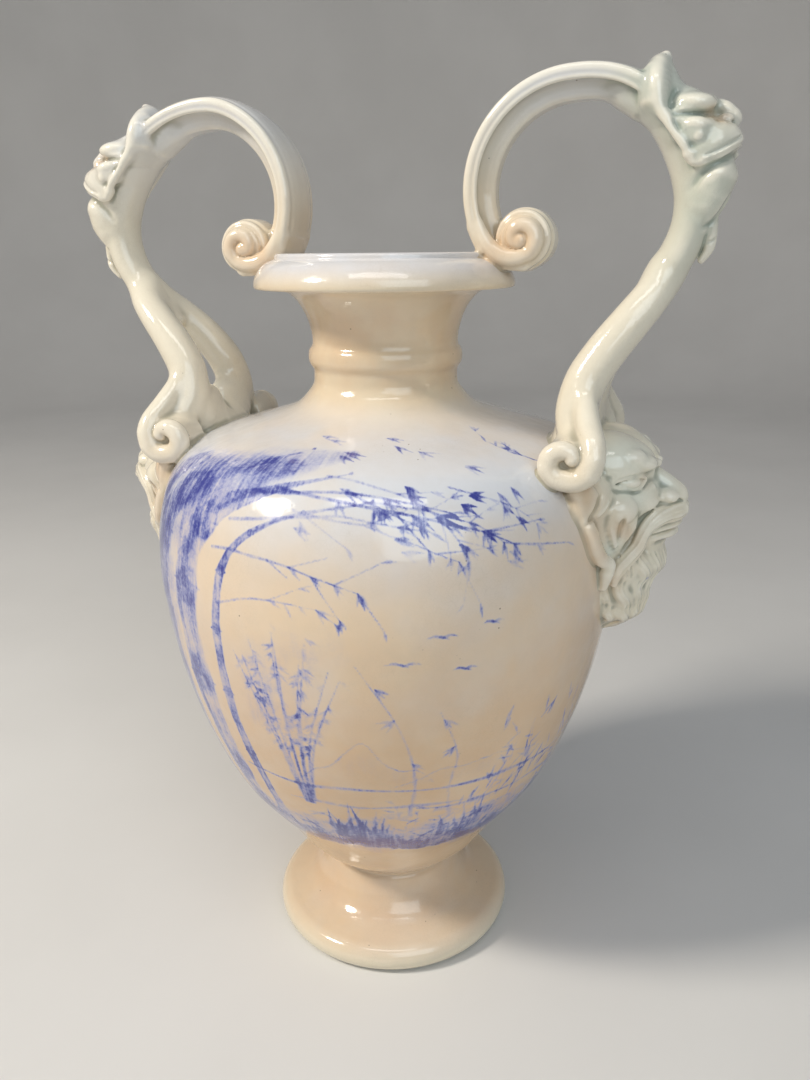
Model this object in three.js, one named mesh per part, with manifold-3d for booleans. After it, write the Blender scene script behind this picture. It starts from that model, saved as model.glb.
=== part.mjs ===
// Two-handled glazed earthenware vase, modelled as one fired piece.
// Millimetres, +Z up, origin at the centre of the underside of the foot.
// The handles lie in the XZ plane, one on each side of the axis.
import * as THREE from 'three';
import Module from 'manifold-3d';
import { mergeVertices } from 'three/addons/utils/BufferGeometryUtils.js';

// ---- driving dimensions ----
const TURN_SEGMENTS = 40;

const FOOT_EDGE_R = 75; // centre of the rounded edge of the foot
const FOOT_EDGE_TUBE = 9.5;
const FOOT_HOLLOW_R = 62; // the foot is hollow and open beneath
const FOOT_HOLLOW_TOP = 39;
const COLLAR_R = 47;
const COLLAR_Z = 48;
const BODY_BASE_R = 52; // where the bowl of the body leaves the collar
const BODY_BASE_Z = 56;

// radius and height of the body, from its base up to the root of the neck
const BODY_STATIONS = [
  [52, 57], [67, 72], [82, 95], [101, 120], [115.5, 145], [129.2, 180],
  [139.8, 220], [145.6, 260], [146.7, 286], [144, 312], [136.5, 334], [124, 350],
  [108, 358.5], [82, 366], [58, 374], [47.3, 384],
];
const WALL = 7; // thickness of the body and neck
const FLOOR_Z = 66; // inner floor of the body

const NECK_R = 44.8;
const NECK_RING_R = 47.8;
const NECK_RING_Z = 404;
const LIP_R = 79;
const LIP_UNDER_Z = 444.2;
const RIM_Z = 464.2;
const RIM_R = 63.5;
const MOUTH_R = 54;

const SCROLL_X = 112; // centre and radius of the C-scroll of a handle
const SCROLL_Z = 496.5;
const SCROLL_R = 50.5;
const SCROLL_HALF_WIDTH = 19;
const SCROLL_HALF_DEPTH = 8.2;
const RIM_VOLUTE = { x: 86, z: 471, r: 16.5, half: 20 };
const SHOULDER_VOLUTE = { x: 121.5, y: 56, z: 354, r: 17, half: 13 };
const STRAND_R = 11.2;
const HEAD_HALF_WIDTH = 25;
const MASK_HALF_WIDTH = 55;

// the handle on the -X side sagged in the kiln: it stands lower and bows out
const SAG_DROP = 8;
const SAG_BOW = 6;

// ---- helpers ----
const wasm = await Module();
wasm.setup();

function toSolid(geometry) {
  const bare = geometry.clone();
  bare.deleteAttribute('normal');
  bare.deleteAttribute('uv');
  const merged = mergeVertices(bare, 1e-4);
  return new wasm.Manifold(new wasm.Mesh({
    numProp: 3,
    vertProperties: new Float32Array(merged.attributes.position.array),
    triVerts: new Uint32Array(merged.index.array),
  }));
}

function toGeometry(solid) {
  const mesh = solid.getMesh();
  const geometry = new THREE.BufferGeometry();
  geometry.setAttribute('position', new THREE.BufferAttribute(mesh.vertProperties, 3));
  geometry.setIndex(new THREE.BufferAttribute(mesh.triVerts, 1));
  geometry.computeVertexNormals();
  return geometry;
}

// A profile of [radius, height] pairs turned about the Z axis.
function turned(profile, segments = TURN_SEGMENTS) {
  const points = profile.map(([r, z]) => new THREE.Vector2(Math.max(r, 0), z));
  const geometry = new THREE.LatheGeometry(points, segments);
  geometry.rotateX(Math.PI / 2);
  return geometry;
}

// Closed skin over a row of rings that hold equally many points.
function lofted(rings) {
  const count = rings[0].length;
  const positions = [];
  const index = [];
  for (const ring of rings) {
    for (const point of ring) positions.push(point.x, point.y, point.z);
  }
  for (let i = 0; i + 1 < rings.length; i += 1) {
    for (let j = 0; j < count; j += 1) {
      const a = i * count + j;
      const b = i * count + ((j + 1) % count);
      index.push(a, b, b + count, a, b + count, a + count);
    }
  }
  const ends = [[0, true], [(rings.length - 1) * count, false]];
  for (const [start, first] of ends) {
    const middle = new THREE.Vector3();
    const ring = rings[first ? 0 : rings.length - 1];
    for (const point of ring) middle.addScaledVector(point, 1 / count);
    const centre = positions.length / 3;
    positions.push(middle.x, middle.y, middle.z);
    for (let j = 0; j < count; j += 1) {
      const a = start + j;
      const b = start + ((j + 1) % count);
      if (first) index.push(centre, b, a);
      else index.push(centre, a, b);
    }
  }
  if (signedVolume(positions, index) < 0) {
    for (let k = 0; k < index.length; k += 3) {
      [index[k + 1], index[k + 2]] = [index[k + 2], index[k + 1]];
    }
  }
  const geometry = new THREE.BufferGeometry();
  geometry.setAttribute('position', new THREE.Float32BufferAttribute(positions, 3));
  geometry.setIndex(index);
  return geometry;
}

function signedVolume(positions, index) {
  const corner = (k) => new THREE.Vector3().fromArray(positions, 3 * index[k]);
  let volume = 0;
  for (let k = 0; k < index.length; k += 3) {
    volume += corner(k).dot(corner(k + 1).cross(corner(k + 2)));
  }
  return volume / 6;
}

// Tube along a curve. section(t) gives its half width across the handle's
// plane and its half depth in it, and a rounded box of power `n` between.
function swept(curve, steps, sides, section) {
  const rings = [];
  for (let i = 0; i <= steps; i += 1) {
    const t = i / steps;
    const centre = curve.getPointAt(t);
    const along = curve.getTangentAt(t);
    const depth = new THREE.Vector3(along.z, 0, -along.x).normalize();
    const across = new THREE.Vector3().crossVectors(along, depth);
    const { halfWidth, halfDepth, n = 2 } = section(t);
    const ring = [];
    for (let j = 0; j < sides; j += 1) {
      const angle = ((j + 0.5) / sides) * 2 * Math.PI;
      const c = Math.cos(angle);
      const s = Math.sin(angle);
      const u = Math.sign(c) * Math.abs(c) ** (2 / n) * halfWidth;
      const v = Math.sign(s) * Math.abs(s) ** (2 / n) * halfDepth;
      ring.push(centre.clone().addScaledVector(across, u).addScaledVector(depth, v));
    }
    rings.push(ring);
  }
  return lofted(rings);
}

function lerpTable(table, at) {
  let k = 0;
  while (k + 2 < table.length && table[k + 1][0] < at) k += 1;
  const [a, va] = table[k];
  const [b, vb] = table[k + 1];
  return va + (vb - va) * THREE.MathUtils.clamp((at - a) / (b - a), 0, 1);
}

// Swellings and hollows of a mask, the same on both sides of its middle.
function relief(bumps, y, z) {
  let lift = 0;
  for (const [by, bz, ry, rz, height] of bumps) {
    const across = (Math.abs(y) - by) / ry;
    const up = (z - bz) / rz;
    lift += height * Math.exp(-across * across - up * up);
  }
  return lift;
}

const inPlane = (x, z) => new THREE.Vector3(x, 0, z);

// ---- body, neck and foot ----
const bodySpline = new THREE.SplineCurve(
  BODY_STATIONS.map(([r, z]) => new THREE.Vector2(r, z)),
);

function bodyPoints(count, offset) {
  const points = [];
  for (let i = 0; i <= count; i += 1) {
    const t = i / count;
    const point = bodySpline.getPoint(t);
    const along = bodySpline.getTangent(t);
    points.push([point.x - along.y * offset, point.y + along.x * offset]);
  }
  return points;
}

function bodyRadius(z) {
  const table = bodyPoints(60, 0).map(([r, height]) => [height, r]);
  return lerpTable(table, z);
}

function arc(r, z, radius, from, to, count) {
  const points = [];
  for (let i = 0; i <= count; i += 1) {
    const angle = THREE.MathUtils.degToRad(from + ((to - from) * i) / count);
    points.push([r + radius * Math.cos(angle), z + radius * Math.sin(angle)]);
  }
  return points;
}

const outerProfile = [
  [0, 0],
  [FOOT_EDGE_R, 0],
  ...arc(FOOT_EDGE_R, FOOT_EDGE_TUBE, FOOT_EDGE_TUBE, -60, 95, 5),
  [63, 21.5],
  [54, 29],
  [49, 38],
  [COLLAR_R, COLLAR_Z],
  [COLLAR_R - 2.5, COLLAR_Z + 1.5],
  [COLLAR_R, COLLAR_Z + 4.5],
  ...bodyPoints(17, 0),
  [NECK_R, 392],
  [45.2, 398],
  [NECK_RING_R, NECK_RING_Z - 2],
  [NECK_RING_R, NECK_RING_Z + 3],
  [NECK_R, 413],
  [46.2, 424],
  [50.5, 433],
  [57, 440.5],
  [63, LIP_UNDER_Z],
  [LIP_R - 1, LIP_UNDER_Z],
  [LIP_R, LIP_UNDER_Z + 1.8],
  [77.3, 451.5],
  [73, 457.5],
  [67, 460.6],
  [RIM_R + 2, 461.4],
  [RIM_R, RIM_Z],
  [0, RIM_Z],
];

const innerProfile = [
  [0, FLOOR_Z],
  [40, FLOOR_Z + 1.5],
  ...bodyPoints(11, WALL).filter(([r, z]) => z > FLOOR_Z + 5 && r > NECK_R - WALL + 2),
  [NECK_R - WALL, 390],
  [NECK_R - WALL, 414],
  [40.5, 428],
  [46.5, 440],
  [MOUTH_R, 455],
  [MOUTH_R, RIM_Z + 5],
  [0, RIM_Z + 5],
];

const footHollowProfile = [
  [0, -5],
  [FOOT_HOLLOW_R + 3, -5],
  [FOOT_HOLLOW_R, 6],
  [50, 18],
  [42, 30],
  [36, FOOT_HOLLOW_TOP],
  [0, FOOT_HOLLOW_TOP],
];

// ---- one handle, on the +X side ----
function volute({ x, y = 0, z, r, half }) {
  const profile = [
    [0, -half], [0.74 * r, -half], [r, -0.5 * half], [r, 0.5 * half],
    [0.74 * r, half], [0, half],
  ];
  return turned(profile, 12).rotateX(Math.PI / 2).translate(x, y, z);
}

function scrollBand() {
  const points = [];
  for (let i = 0; i <= 8; i += 1) {
    const angle = THREE.MathUtils.degToRad(210 - (156 * i) / 8);
    points.push(inPlane(
      SCROLL_X + SCROLL_R * Math.cos(angle),
      SCROLL_Z + SCROLL_R * Math.sin(angle),
    ));
  }
  points.push(inPlane(157, 530));
  points.push(inPlane(167, 515));
  points.push(inPlane(173.5, 499));
  points.push(inPlane(175, 484));
  points.push(inPlane(172, 469));
  points.push(inPlane(163, 450));
  points.push(inPlane(155, 437));
  const width = [[0, SCROLL_HALF_WIDTH], [0.55, 18], [0.7, 15], [0.8, 13.5], [1, 12.5]];
  const depth = [[0, 7.4], [0.2, SCROLL_HALF_DEPTH], [0.45, 8.2], [0.6, 9.5], [1, 10]];
  const square = [[0, 3.2], [0.5, 2.8], [0.7, 2], [1, 2]];
  return swept(new THREE.CatmullRomCurve3(points), 26, 10, (t) => ({
    halfWidth: lerpTable(width, t),
    halfDepth: lerpTable(depth, t),
    n: lerpTable(square, t),
  }));
}

function strand(side) {
  const route = [
    [163, 0, 450], [157.5, 12, 440.5], [148.5, 17, 428], [136.5, 21.5, 412],
    [126.5, 25, 396], [123, 29, 380], [125, 37, 367], [129, 48, 358], [132, 57, 352],
  ];
  const points = route.map(([x, y, z]) => new THREE.Vector3(x, side * y, z));
  const radius = [[0, 9], [0.15, 10.6], [0.7, STRAND_R], [0.85, 12], [1, 9]];
  return swept(new THREE.CatmullRomCurve3(points), 11, 8, (t) => ({
    halfWidth: lerpTable(radius, t),
    halfDepth: lerpTable(radius, t),
  }));
}

// Upper mask: level rings between the outer outline of the crest, brow, nose,
// muzzle and beard, and the core of the limb behind them.
function upperHead() {
  const front = [
    [454, 178], [462, 186.5], [470, 188], [481, 189], [492, 192.5], [500, 195],
    [505, 193], [509, 195.5], [516, 196.5], [522, 192.5], [527, 195], [532, 189.5],
    [538, 179], [544, 166], [550, 159], [556, 158.5], [560.5, 155.5],
  ];
  const back = [
    [454, 168], [470, 172], [484, 174], [500, 170], [514, 163], [528, 154],
    [544, 148], [552, 148.5], [560.5, 153],
  ];
  const width = [
    [454, 5], [462, 8], [480, 13], [492, 19], [505, 23], [518, HEAD_HALF_WIDTH],
    [530, HEAD_HALF_WIDTH], [540, 22], [550, 15], [556, 7], [560.5, 1.5],
  ];
  const ridge = [[454, 0.5], [500, 0.6], [516, 0.66], [532, 0.75], [560.5, 0.6]];
  const bumps = [
    [11, 537, 8, 4, 5], [15, 526, 6, 5, -6], [20, 518, 8, 6, 5],
    [12, 510, 7, 4, 5], [15, 502, 8, 4, -5], [9, 488, 4, 12, 4],
  ];
  return lofted(front.map(([z, x]) => {
    const b = lerpTable(back, z);
    const w = lerpTable(width, z);
    const lift = lerpTable(ridge, z);
    const ring = [];
    for (let j = 0; j < 14; j += 1) {
      const angle = (j / 14) * 2 * Math.PI;
      const c = Math.cos(angle);
      const y = w * Math.sin(angle);
      const swell = c > 0.1 ? relief(bumps, y, z) : 0;
      const reach = c > 0 ? (x - b) * (lift * c + (1 - lift) * c ** 6) : 0.3 * w * c;
      ring.push(new THREE.Vector3(b + reach + swell, y, z));
    }
    return ring;
  }));
}

// Lower mask: level rings whose front follows the profile of forehead, nose,
// lips and beard, and whose back lies inside the wall of the body.
function lowerMask() {
  const front = [
    [238, 146.5], [245, 155], [252, 165], [260, 171], [268, 174], [278, 179],
    [286, 181], [293, 178.5], [299, 176], [304, 182], [310, 184], [317, 187],
    [325, 186.5], [332, 182], [338, 174], [344, 168.5], [351, 168.5], [359, 159.5],
    [367, 146],
  ];
  const cheek = [
    [238, 146], [252, 152], [268, 157], [286, 158], [299, 157], [310, 158],
    [325, 160], [338, 158], [350, 160], [360, 152], [367, 144],
  ];
  const width = [
    [238, 6], [250, 18], [262, 28], [278, 38], [288, 42], [299, 50], [312, MASK_HALF_WIDTH],
    [332, MASK_HALF_WIDTH], [345, 50], [356, 40], [363, 30], [367, 20],
  ];
  const bumps = [
    [20, 351, 15, 5, 5], [23, 338, 13, 5, -9], [30, 327, 12, 7, 5],
    [34, 312, 9, 7, -6], [15, 313, 10, 5, 6], [24, 301, 8, 6, 7],
    [31, 284, 7, 9, 6], [8, 302, 10, 3, -5], [13, 265, 6, 14, 4],
  ];
  return lofted(front.map(([z, x]) => {
    const w = lerpTable(width, z);
    const side = lerpTable(cheek, z);
    const skin = Math.max(bodyRadius(z), 127) - 3;
    const ring = [];
    for (let j = 0; j <= 12; j += 1) {
      const s = -1 + j / 6;
      const y = w * Math.sin((s * Math.PI) / 2);
      const root = Math.sqrt(skin * skin - y * y);
      const round = Math.sqrt(Math.max(0, 1 - Math.abs(s) ** 2.4));
      const nose = (x - side) * Math.exp(-((y / 11) ** 2));
      const reach = side - skin + nose + relief(bumps, y, z);
      ring.push(new THREE.Vector3(root + reach * round, y, z));
    }
    for (let j = 1; j < 4; j += 1) {
      const y = w * Math.sin(((1 - j / 2) * Math.PI) / 2);
      const deep = skin - 2;
      ring.push(new THREE.Vector3(Math.sqrt(deep * deep - y * y), y, z));
    }
    return ring;
  }));
}

// Thin web that closes the crotch of the fork behind the lower mask.
function forkWeb() {
  const rows = [[350, 20, 117, 140], [366, 22, 114, 143], [380, 17, 118, 136], [386, 8, 122, 133]];
  return lofted(rows.map(([z, w, near, far]) => [
    new THREE.Vector3(near, -w, z),
    new THREE.Vector3(far, -w, z),
    new THREE.Vector3(far, w, z),
    new THREE.Vector3(near, w, z),
  ]));
}

// Moves a point of the handle on the -X side to where the kiln let it settle.
function settle(point, drop, bow) {
  const step = THREE.MathUtils.smoothstep;
  const lower = 0.35 + 0.65 * step(point.x, 90, 150);
  const out = step(point.x, 110, 165) * step(point.z, 415, 470);
  const low = step(point.z, 380, 470);
  const top = 1 - step(point.z, 480, 560);
  point.x += bow * out * top;
  point.z -= drop * lower * low;
  return point;
}

function handle(drop, bow) {
  const shapes = [scrollBand(), volute(RIM_VOLUTE), upperHead(), lowerMask(), forkWeb()];
  for (const side of [-1, 1]) {
    shapes.push(strand(side));
    shapes.push(volute({ ...SHOULDER_VOLUTE, y: side * SHOULDER_VOLUTE.y }));
  }
  const point = new THREE.Vector3();
  const solids = shapes.map((shape) => {
    const { position } = shape.attributes;
    for (let i = 0; i < position.count; i += 1) {
      settle(point.fromBufferAttribute(position, i), drop, bow);
      position.setXYZ(i, point.x, point.y, point.z);
    }
    return toSolid(shape);
  });
  return solids.reduce((sum, next) => sum.add(next));
}

const vaseSolid = toSolid(turned(outerProfile))
  .add(handle(0, 0))
  .add(handle(SAG_DROP, SAG_BOW).rotate([0, 0, 180]))
  .subtract(toSolid(turned(innerProfile)))
  .subtract(toSolid(turned(footHollowProfile)));

const glaze = new THREE.MeshStandardMaterial({
  color: 0xece4d2,
  roughness: 0.15,
  metalness: 0,
});

const vase = new THREE.Mesh(toGeometry(vaseSolid), glaze);
vase.name = 'vase';

const root = new THREE.Group();
root.add(vase);

export default root;
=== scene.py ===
import math

import bpy
import numpy as np
from mathutils import Matrix, Vector
from mathutils.kdtree import KDTree


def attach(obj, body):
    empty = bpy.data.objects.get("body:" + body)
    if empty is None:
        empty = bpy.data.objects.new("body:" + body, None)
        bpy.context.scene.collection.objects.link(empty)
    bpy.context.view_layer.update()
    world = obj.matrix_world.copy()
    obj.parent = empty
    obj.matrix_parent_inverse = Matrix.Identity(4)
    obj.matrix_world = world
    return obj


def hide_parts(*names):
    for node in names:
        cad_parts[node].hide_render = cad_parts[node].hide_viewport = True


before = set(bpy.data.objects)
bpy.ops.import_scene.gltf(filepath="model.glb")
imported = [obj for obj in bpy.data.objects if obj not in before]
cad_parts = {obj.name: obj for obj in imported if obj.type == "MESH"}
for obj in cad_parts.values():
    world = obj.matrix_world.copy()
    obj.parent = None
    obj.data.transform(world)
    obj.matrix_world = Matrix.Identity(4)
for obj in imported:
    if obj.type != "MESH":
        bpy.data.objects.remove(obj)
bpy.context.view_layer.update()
MM = 0.001

# ------------------------------------------------------------------ camera

CAMERA_DISTANCE = 550.0  # from the axis of the vase, in millimetres
CAMERA_HEIGHT = 464.4  # above the floor
CAMERA_AZIMUTH = math.radians(19.4)  # round towards the handle on +X
CAMERA_YAW = 0.019835  # to the right of the axis, in radians, as the next two
CAMERA_PITCH = 0.31973  # downwards
CAMERA_ROLL = -0.009711
LENS_MM = 29.0
SENSOR_MM = 36.0


def make_camera():
    """The camera where the photographer stood, turned round the vase, then by yaw, pitch and roll."""
    place = Matrix.Rotation(CAMERA_AZIMUTH, 3, "Z") @ Vector((0, -CAMERA_DISTANCE, CAMERA_HEIGHT)) * MM
    axes = (Matrix.Rotation(CAMERA_AZIMUTH - CAMERA_YAW, 4, "Z")
            @ Matrix.Rotation(math.pi / 2 - CAMERA_PITCH, 4, "X")
            @ Matrix.Rotation(CAMERA_ROLL, 4, "Z"))
    data = bpy.data.cameras.new("camera")
    data.sensor_width = SENSOR_MM
    data.lens = LENS_MM
    data.clip_start = 0.01
    camera = bpy.data.objects.new("camera", data)
    camera.matrix_world = Matrix.Translation(place) @ axes
    bpy.context.scene.collection.objects.link(camera)
    bpy.context.scene.camera = camera


# ------------------------------------------------------------------ body profile

# radius and height, in millimetres, up the outside and over the rim
BODY_STATIONS = np.array([
    (52, 57), (67, 72), (82, 95), (101, 120), (115.5, 145), (129.2, 180),
    (139.8, 220), (145.6, 260), (146.7, 286), (144, 312), (136.5, 334), (124, 350),
    (108, 358.5), (82, 366), (58, 374), (47.3, 384),
])
NECK_STATIONS = np.array([
    (47.3, 384), (45.0, 388.5), (44.6, 393.5), (44.8, 396.5), (47.3, 400.6),
    (47.8, 404.2), (47.2, 408.2), (45.3, 410.8), (44.9, 414.5), (45.6, 420),
    (48.0, 427.8), (52.4, 435.6), (57.2, 440.8), (62.5, 443.6),
])
LIP = np.array([
    (62.5, 443.6), (68, 444.2), (77.4, 444.2), (78.7, 444.8), (79.0, 446.2),
    (78.6, 449), (77.2, 452), (74.4, 456), (71, 458.8), (67, 460.6), (66, 460.8),
])
RIM = np.array([
    (66, 460.8), (65.6, 461.4), (65.6, 462.4), (65.0, 463.6), (63.8, 464.1),
    (60, 464.2), (56.5, 464.0), (54.6, 463.0), (53.8, 461.2), (53.4, 456),
])
WALL = 7.0  # millimetres


def catmull(points, steps):
    """Points along a smooth curve through the given points, each span cut in steps."""
    points = np.asarray(points, float)
    padded = np.vstack([2 * points[0] - points[1], points, 2 * points[-1] - points[-2]])
    t = np.arange(steps)[:, None] / steps
    spans = []
    for a, b, c, d in zip(padded, padded[1:], padded[2:], padded[3:]):
        spans.append(0.5 * (2 * b + (c - a) * t + (2 * a - 5 * b + 4 * c - d) * t**2
                            + (3 * b - a - 3 * c + d) * t**3))
    return np.vstack(spans + [points[-1:]])


def lengths(rows):
    """The length of each row."""
    return np.linalg.norm(rows, axis=1)


def unit(rows):
    """Each row made 1 long."""
    return rows / lengths(rows)[:, None]


def spread(values, count):
    """The values stretched evenly over count places."""
    return np.interp(np.linspace(0, 1, count), np.linspace(0, 1, len(values)), values)


def arc(r, z, radius, start, end, count):
    """Points on a circle about (r, z), from start to end in degrees."""
    a = np.radians(np.linspace(start, end, count))
    return np.stack([r + radius * np.cos(a), z + radius * np.sin(a)], 1)


def resample(points, step):
    """The same line with points about step apart."""
    points = np.asarray(points, float)
    length = np.r_[0, np.cumsum(lengths(np.diff(points, axis=0)))]
    count = max(2, int(round(length[-1] / step)) + 1)
    at = np.linspace(0, length[-1], count)
    return np.stack([np.interp(at, length, points[:, k]) for k in range(points.shape[1])], 1)


def outer_profile():
    """Foot, body, neck, lip and rim, each a line of points from below to above."""
    foot = np.vstack([
        [(65.5, 0.0), (74, 0.0)],
        arc(75, 9.5, 9.5, -75, 95, 18),
        catmull([(74.2, 19.0), (68.5, 20.0), (62, 22.0), (55, 27.4), (50.6, 34),
                 (48.3, 41), (47.2, 46.5)], 8)[1:],
        [(46.9, 48.0), (46.2, 48.9), (45.0, 49.4), (44.9, 50.4), (46.0, 52.0), (48.6, 54.2)],
    ])
    body = resample(catmull(BODY_STATIONS, 14), 2.4)
    neck = resample(catmull(NECK_STATIONS, 10), 1.1)
    lip = resample(catmull(LIP, 6), 0.9)
    return foot, body, neck, lip, resample(catmull(RIM, 6), 0.7)


def inner_profile():
    """The inside from the middle of its floor up, a wall's thickness within the body."""
    body = catmull(BODY_STATIONS, 14)
    along = unit(np.gradient(body, axis=0))
    inner = body + WALL * np.stack([-along[:, 1], along[:, 0]], 1)
    inner = inner[(inner[:, 1] > 78) & (inner[:, 0] > 39)]
    inner = np.vstack([[(0, 66), (30, 66.4), (48, 69.5), (58, 74)], inner,
                       [(37.8, 390), (37.8, 414), (40.5, 428), (46.5, 440), (53.0, 453)]])
    return resample(inner, 7.0)


# ------------------------------------------------------------------ mesh helpers

def new_object(name, vertices, faces, material, cap=()):
    """faces is an (n, 3) or (n, 4) array of vertex numbers, and cap one more face of any length.

    The vertices are in millimetres."""
    mesh = bpy.data.meshes.new(name)
    faces = np.asarray(faces, np.int32)
    corners = np.r_[faces.ravel(), np.asarray(cap, np.int32)]
    starts = np.arange(0, faces.size + 1, faces.shape[1], dtype=np.int32)[:len(faces) + (len(cap) > 0)]
    mesh.vertices.add(len(vertices))
    mesh.vertices.foreach_set("co", (np.asarray(vertices, np.float32) * MM).ravel())
    mesh.loops.add(len(corners))
    mesh.loops.foreach_set("vertex_index", corners)
    mesh.polygons.add(len(starts))
    mesh.polygons.foreach_set("loop_start", starts)
    mesh.polygons.foreach_set("use_smooth", np.full(len(starts), True))
    mesh.update(calc_edges=True)
    mesh.validate()
    if material:
        mesh.materials.append(material)
    made = bpy.data.objects.new(name, mesh)
    bpy.context.scene.collection.objects.link(made)
    return made


def paint_attributes(made, tints):
    """Gives the mesh one number a vertex under each name, for the glaze to read."""
    for name, values in tints.items():
        layer = made.data.attributes.new(name, "FLOAT", "POINT")
        layer.data.foreach_set("value", np.asarray(values, np.float32))


def ring_quads(rows, segments):
    """Squares between closed rings of points that are numbered ring by ring."""
    i, j = np.indices((rows - 1, segments)).reshape(2, -1)
    near, far = i * segments, (i + 1) * segments
    k = (j + 1) % segments
    return np.stack([near + j, near + k, far + k, far + j], 1)


def turned_mesh(profile, segments):
    """Vertices and quads of a profile turned about the Z axis; the ends stay open."""
    angle = 2 * np.pi * np.arange(segments) / segments
    r, z = profile[:, 0][:, None], profile[:, 1][:, None]
    grid = np.stack([r * np.cos(angle), r * np.sin(angle), z + 0 * angle], -1)
    return grid.reshape(-1, 3), ring_quads(len(profile), segments)


# ------------------------------------------------------------------ sculpting in clay

def smooth_min(a, b, k):
    """The smaller of a and b, rounded off where they differ by less than k."""
    if k <= 0:
        return np.minimum(a, b)
    h = np.maximum(k - np.abs(a - b), 0) / k
    return np.minimum(a, b) - h * h * k * 0.25


def step01(value, low, high):
    """0 at low and 1 at high, with a soft change between."""
    t = np.clip((value - low) / (high - low), 0, 1)
    return t * t * (3 - 2 * t)


def between(table, row, column, soft=False):
    """The table read between its cells, row and column at least 0; past its ends it repeats."""
    i, j = row.astype(int), column.astype(int)
    up, on = row - i, column - j
    if soft:
        up, on = step01(up, 0, 1), step01(on, 0, 1)
    rows, columns = table.shape
    i, j = i % rows, j % columns
    next_i, next_j = (i + 1) % rows, (j + 1) % columns
    return ((table[i, j] * (1 - on) + table[i, next_j] * on) * (1 - up)
            + (table[next_i, j] * (1 - on) + table[next_i, next_j] * on) * up)


class Clay:
    """Signed distances, in millimetres, of a growing shape at a cloud of points.

    Y is folded, so everything is the same on both sides of the handle's plane."""

    FAR = 60.0

    def __init__(self, points, reach):
        self.p = points.copy()
        self.p[:, 1] = np.abs(self.p[:, 1])
        self.d = np.full(len(points), self.FAR, np.float32)
        self.reach = reach

    def near(self, low, high, margin):
        """Rows of the points in a box that is wider than low to high by a margin."""
        keep = np.ones(len(self.p), bool)
        for axis in range(3):
            keep &= self.p[:, axis] > low[axis] - margin
            keep &= self.p[:, axis] < high[axis] + margin
        return np.flatnonzero(keep)

    def round_axis(self, x, z, reach, low, high):
        """Rows near an axis along Y, with their distance from it and their place along it."""
        rows = self.near((x - reach, low, z - reach), (x + reach, high, z + reach), 6)
        q = self.p[rows]
        return rows, np.hypot(q[:, 0] - x, q[:, 2] - z), q[:, 1]

    def blend(self, rows, other, k, cut=False):
        """Adds other to the clay; cut=True takes it away, and cut=None keeps only what is in it."""
        if cut is None:
            self.d[rows] = -smooth_min(-self.d[rows], -other, k)
        elif cut:
            self.d[rows] = -smooth_min(-self.d[rows], other, k)
        else:
            self.d[rows] = smooth_min(self.d[rows], other, k)

    def apart(self):
        """Starts afresh, for a shape that join() adds to what there was before."""
        before = self.d
        self.d = np.full_like(before, self.FAR)
        return before

    def join(self, before, k):
        self.d = smooth_min(self.d, before, k)

    def ball(self, centre, radii, k, tilt=None, cut=False):
        """An ellipsoid. tilt turns it in the XZ plane, in degrees, or is (a, b, c) Euler angles."""
        centre, radii = np.asarray(centre, float), np.asarray(radii, float)
        far = radii.max()
        rows = self.near(centre - far, centre + far, k + self.reach)
        q = self.p[rows] - centre
        if tilt is not None:
            turn = tilt if isinstance(tilt, tuple) else (0, tilt, 0)
            m = np.array(Matrix.Rotation(math.radians(turn[2]), 3, "Z")
                         @ Matrix.Rotation(math.radians(turn[1]), 3, "Y")
                         @ Matrix.Rotation(math.radians(turn[0]), 3, "X"))
            q = q @ m
        k0, k1 = lengths(q / radii), lengths(q / radii**2) + 1e-9
        self.blend(rows, k0 * (k0 - 1) / k1, k, cut)

    def along(self, path, margin, flat=(1, 1, 1)):
        """Rows near a line of points, their distance to it and where on it they are, 0 to 1."""
        path = np.asarray(path, float)
        rows = self.near(path.min(0), path.max(0), margin)
        q = self.p[rows]
        best = np.full(len(rows), 1e9)
        where = np.zeros(len(rows))
        flat = np.asarray(flat, float)
        for i, (a, b) in enumerate(zip(path, path[1:])):
            ab = b - a
            t = np.clip((q - a) @ ab / (ab @ ab), 0, 1)
            far = lengths((q - a - t[:, None] * ab) / flat)
            nearer = far < best
            best[nearer] = far[nearer]
            where[nearer] = (i + t[nearer]) / (len(path) - 1)
        return rows, best, where

    def tube(self, path, radii, k, flat=(1, 1, 1), steps=4):
        """A rope of changing radius through the points of path."""
        line = catmull(path, steps)
        radii = np.asarray(radii, float)
        margin = radii.max() * max(flat) + k + self.reach
        rows, far, where = self.along(line, margin, flat)
        size = np.interp(where, np.linspace(0, 1, len(radii)), radii)
        self.blend(rows, (far - size) * min(flat), k)

    def line(self, path, width, height, flat=(1, 1, 1)):
        """Raises (or, with height below 0, cuts) a soft line along path on the surface."""
        rows, far, where = self.along(catmull(path, 3), 2.6 * width * max(flat), flat)
        taper = np.sin(np.pi * np.clip(where, 0.02, 0.98)) ** 0.4
        self.d[rows] -= height * taper * np.exp(-((far / width) ** 2))


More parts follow.
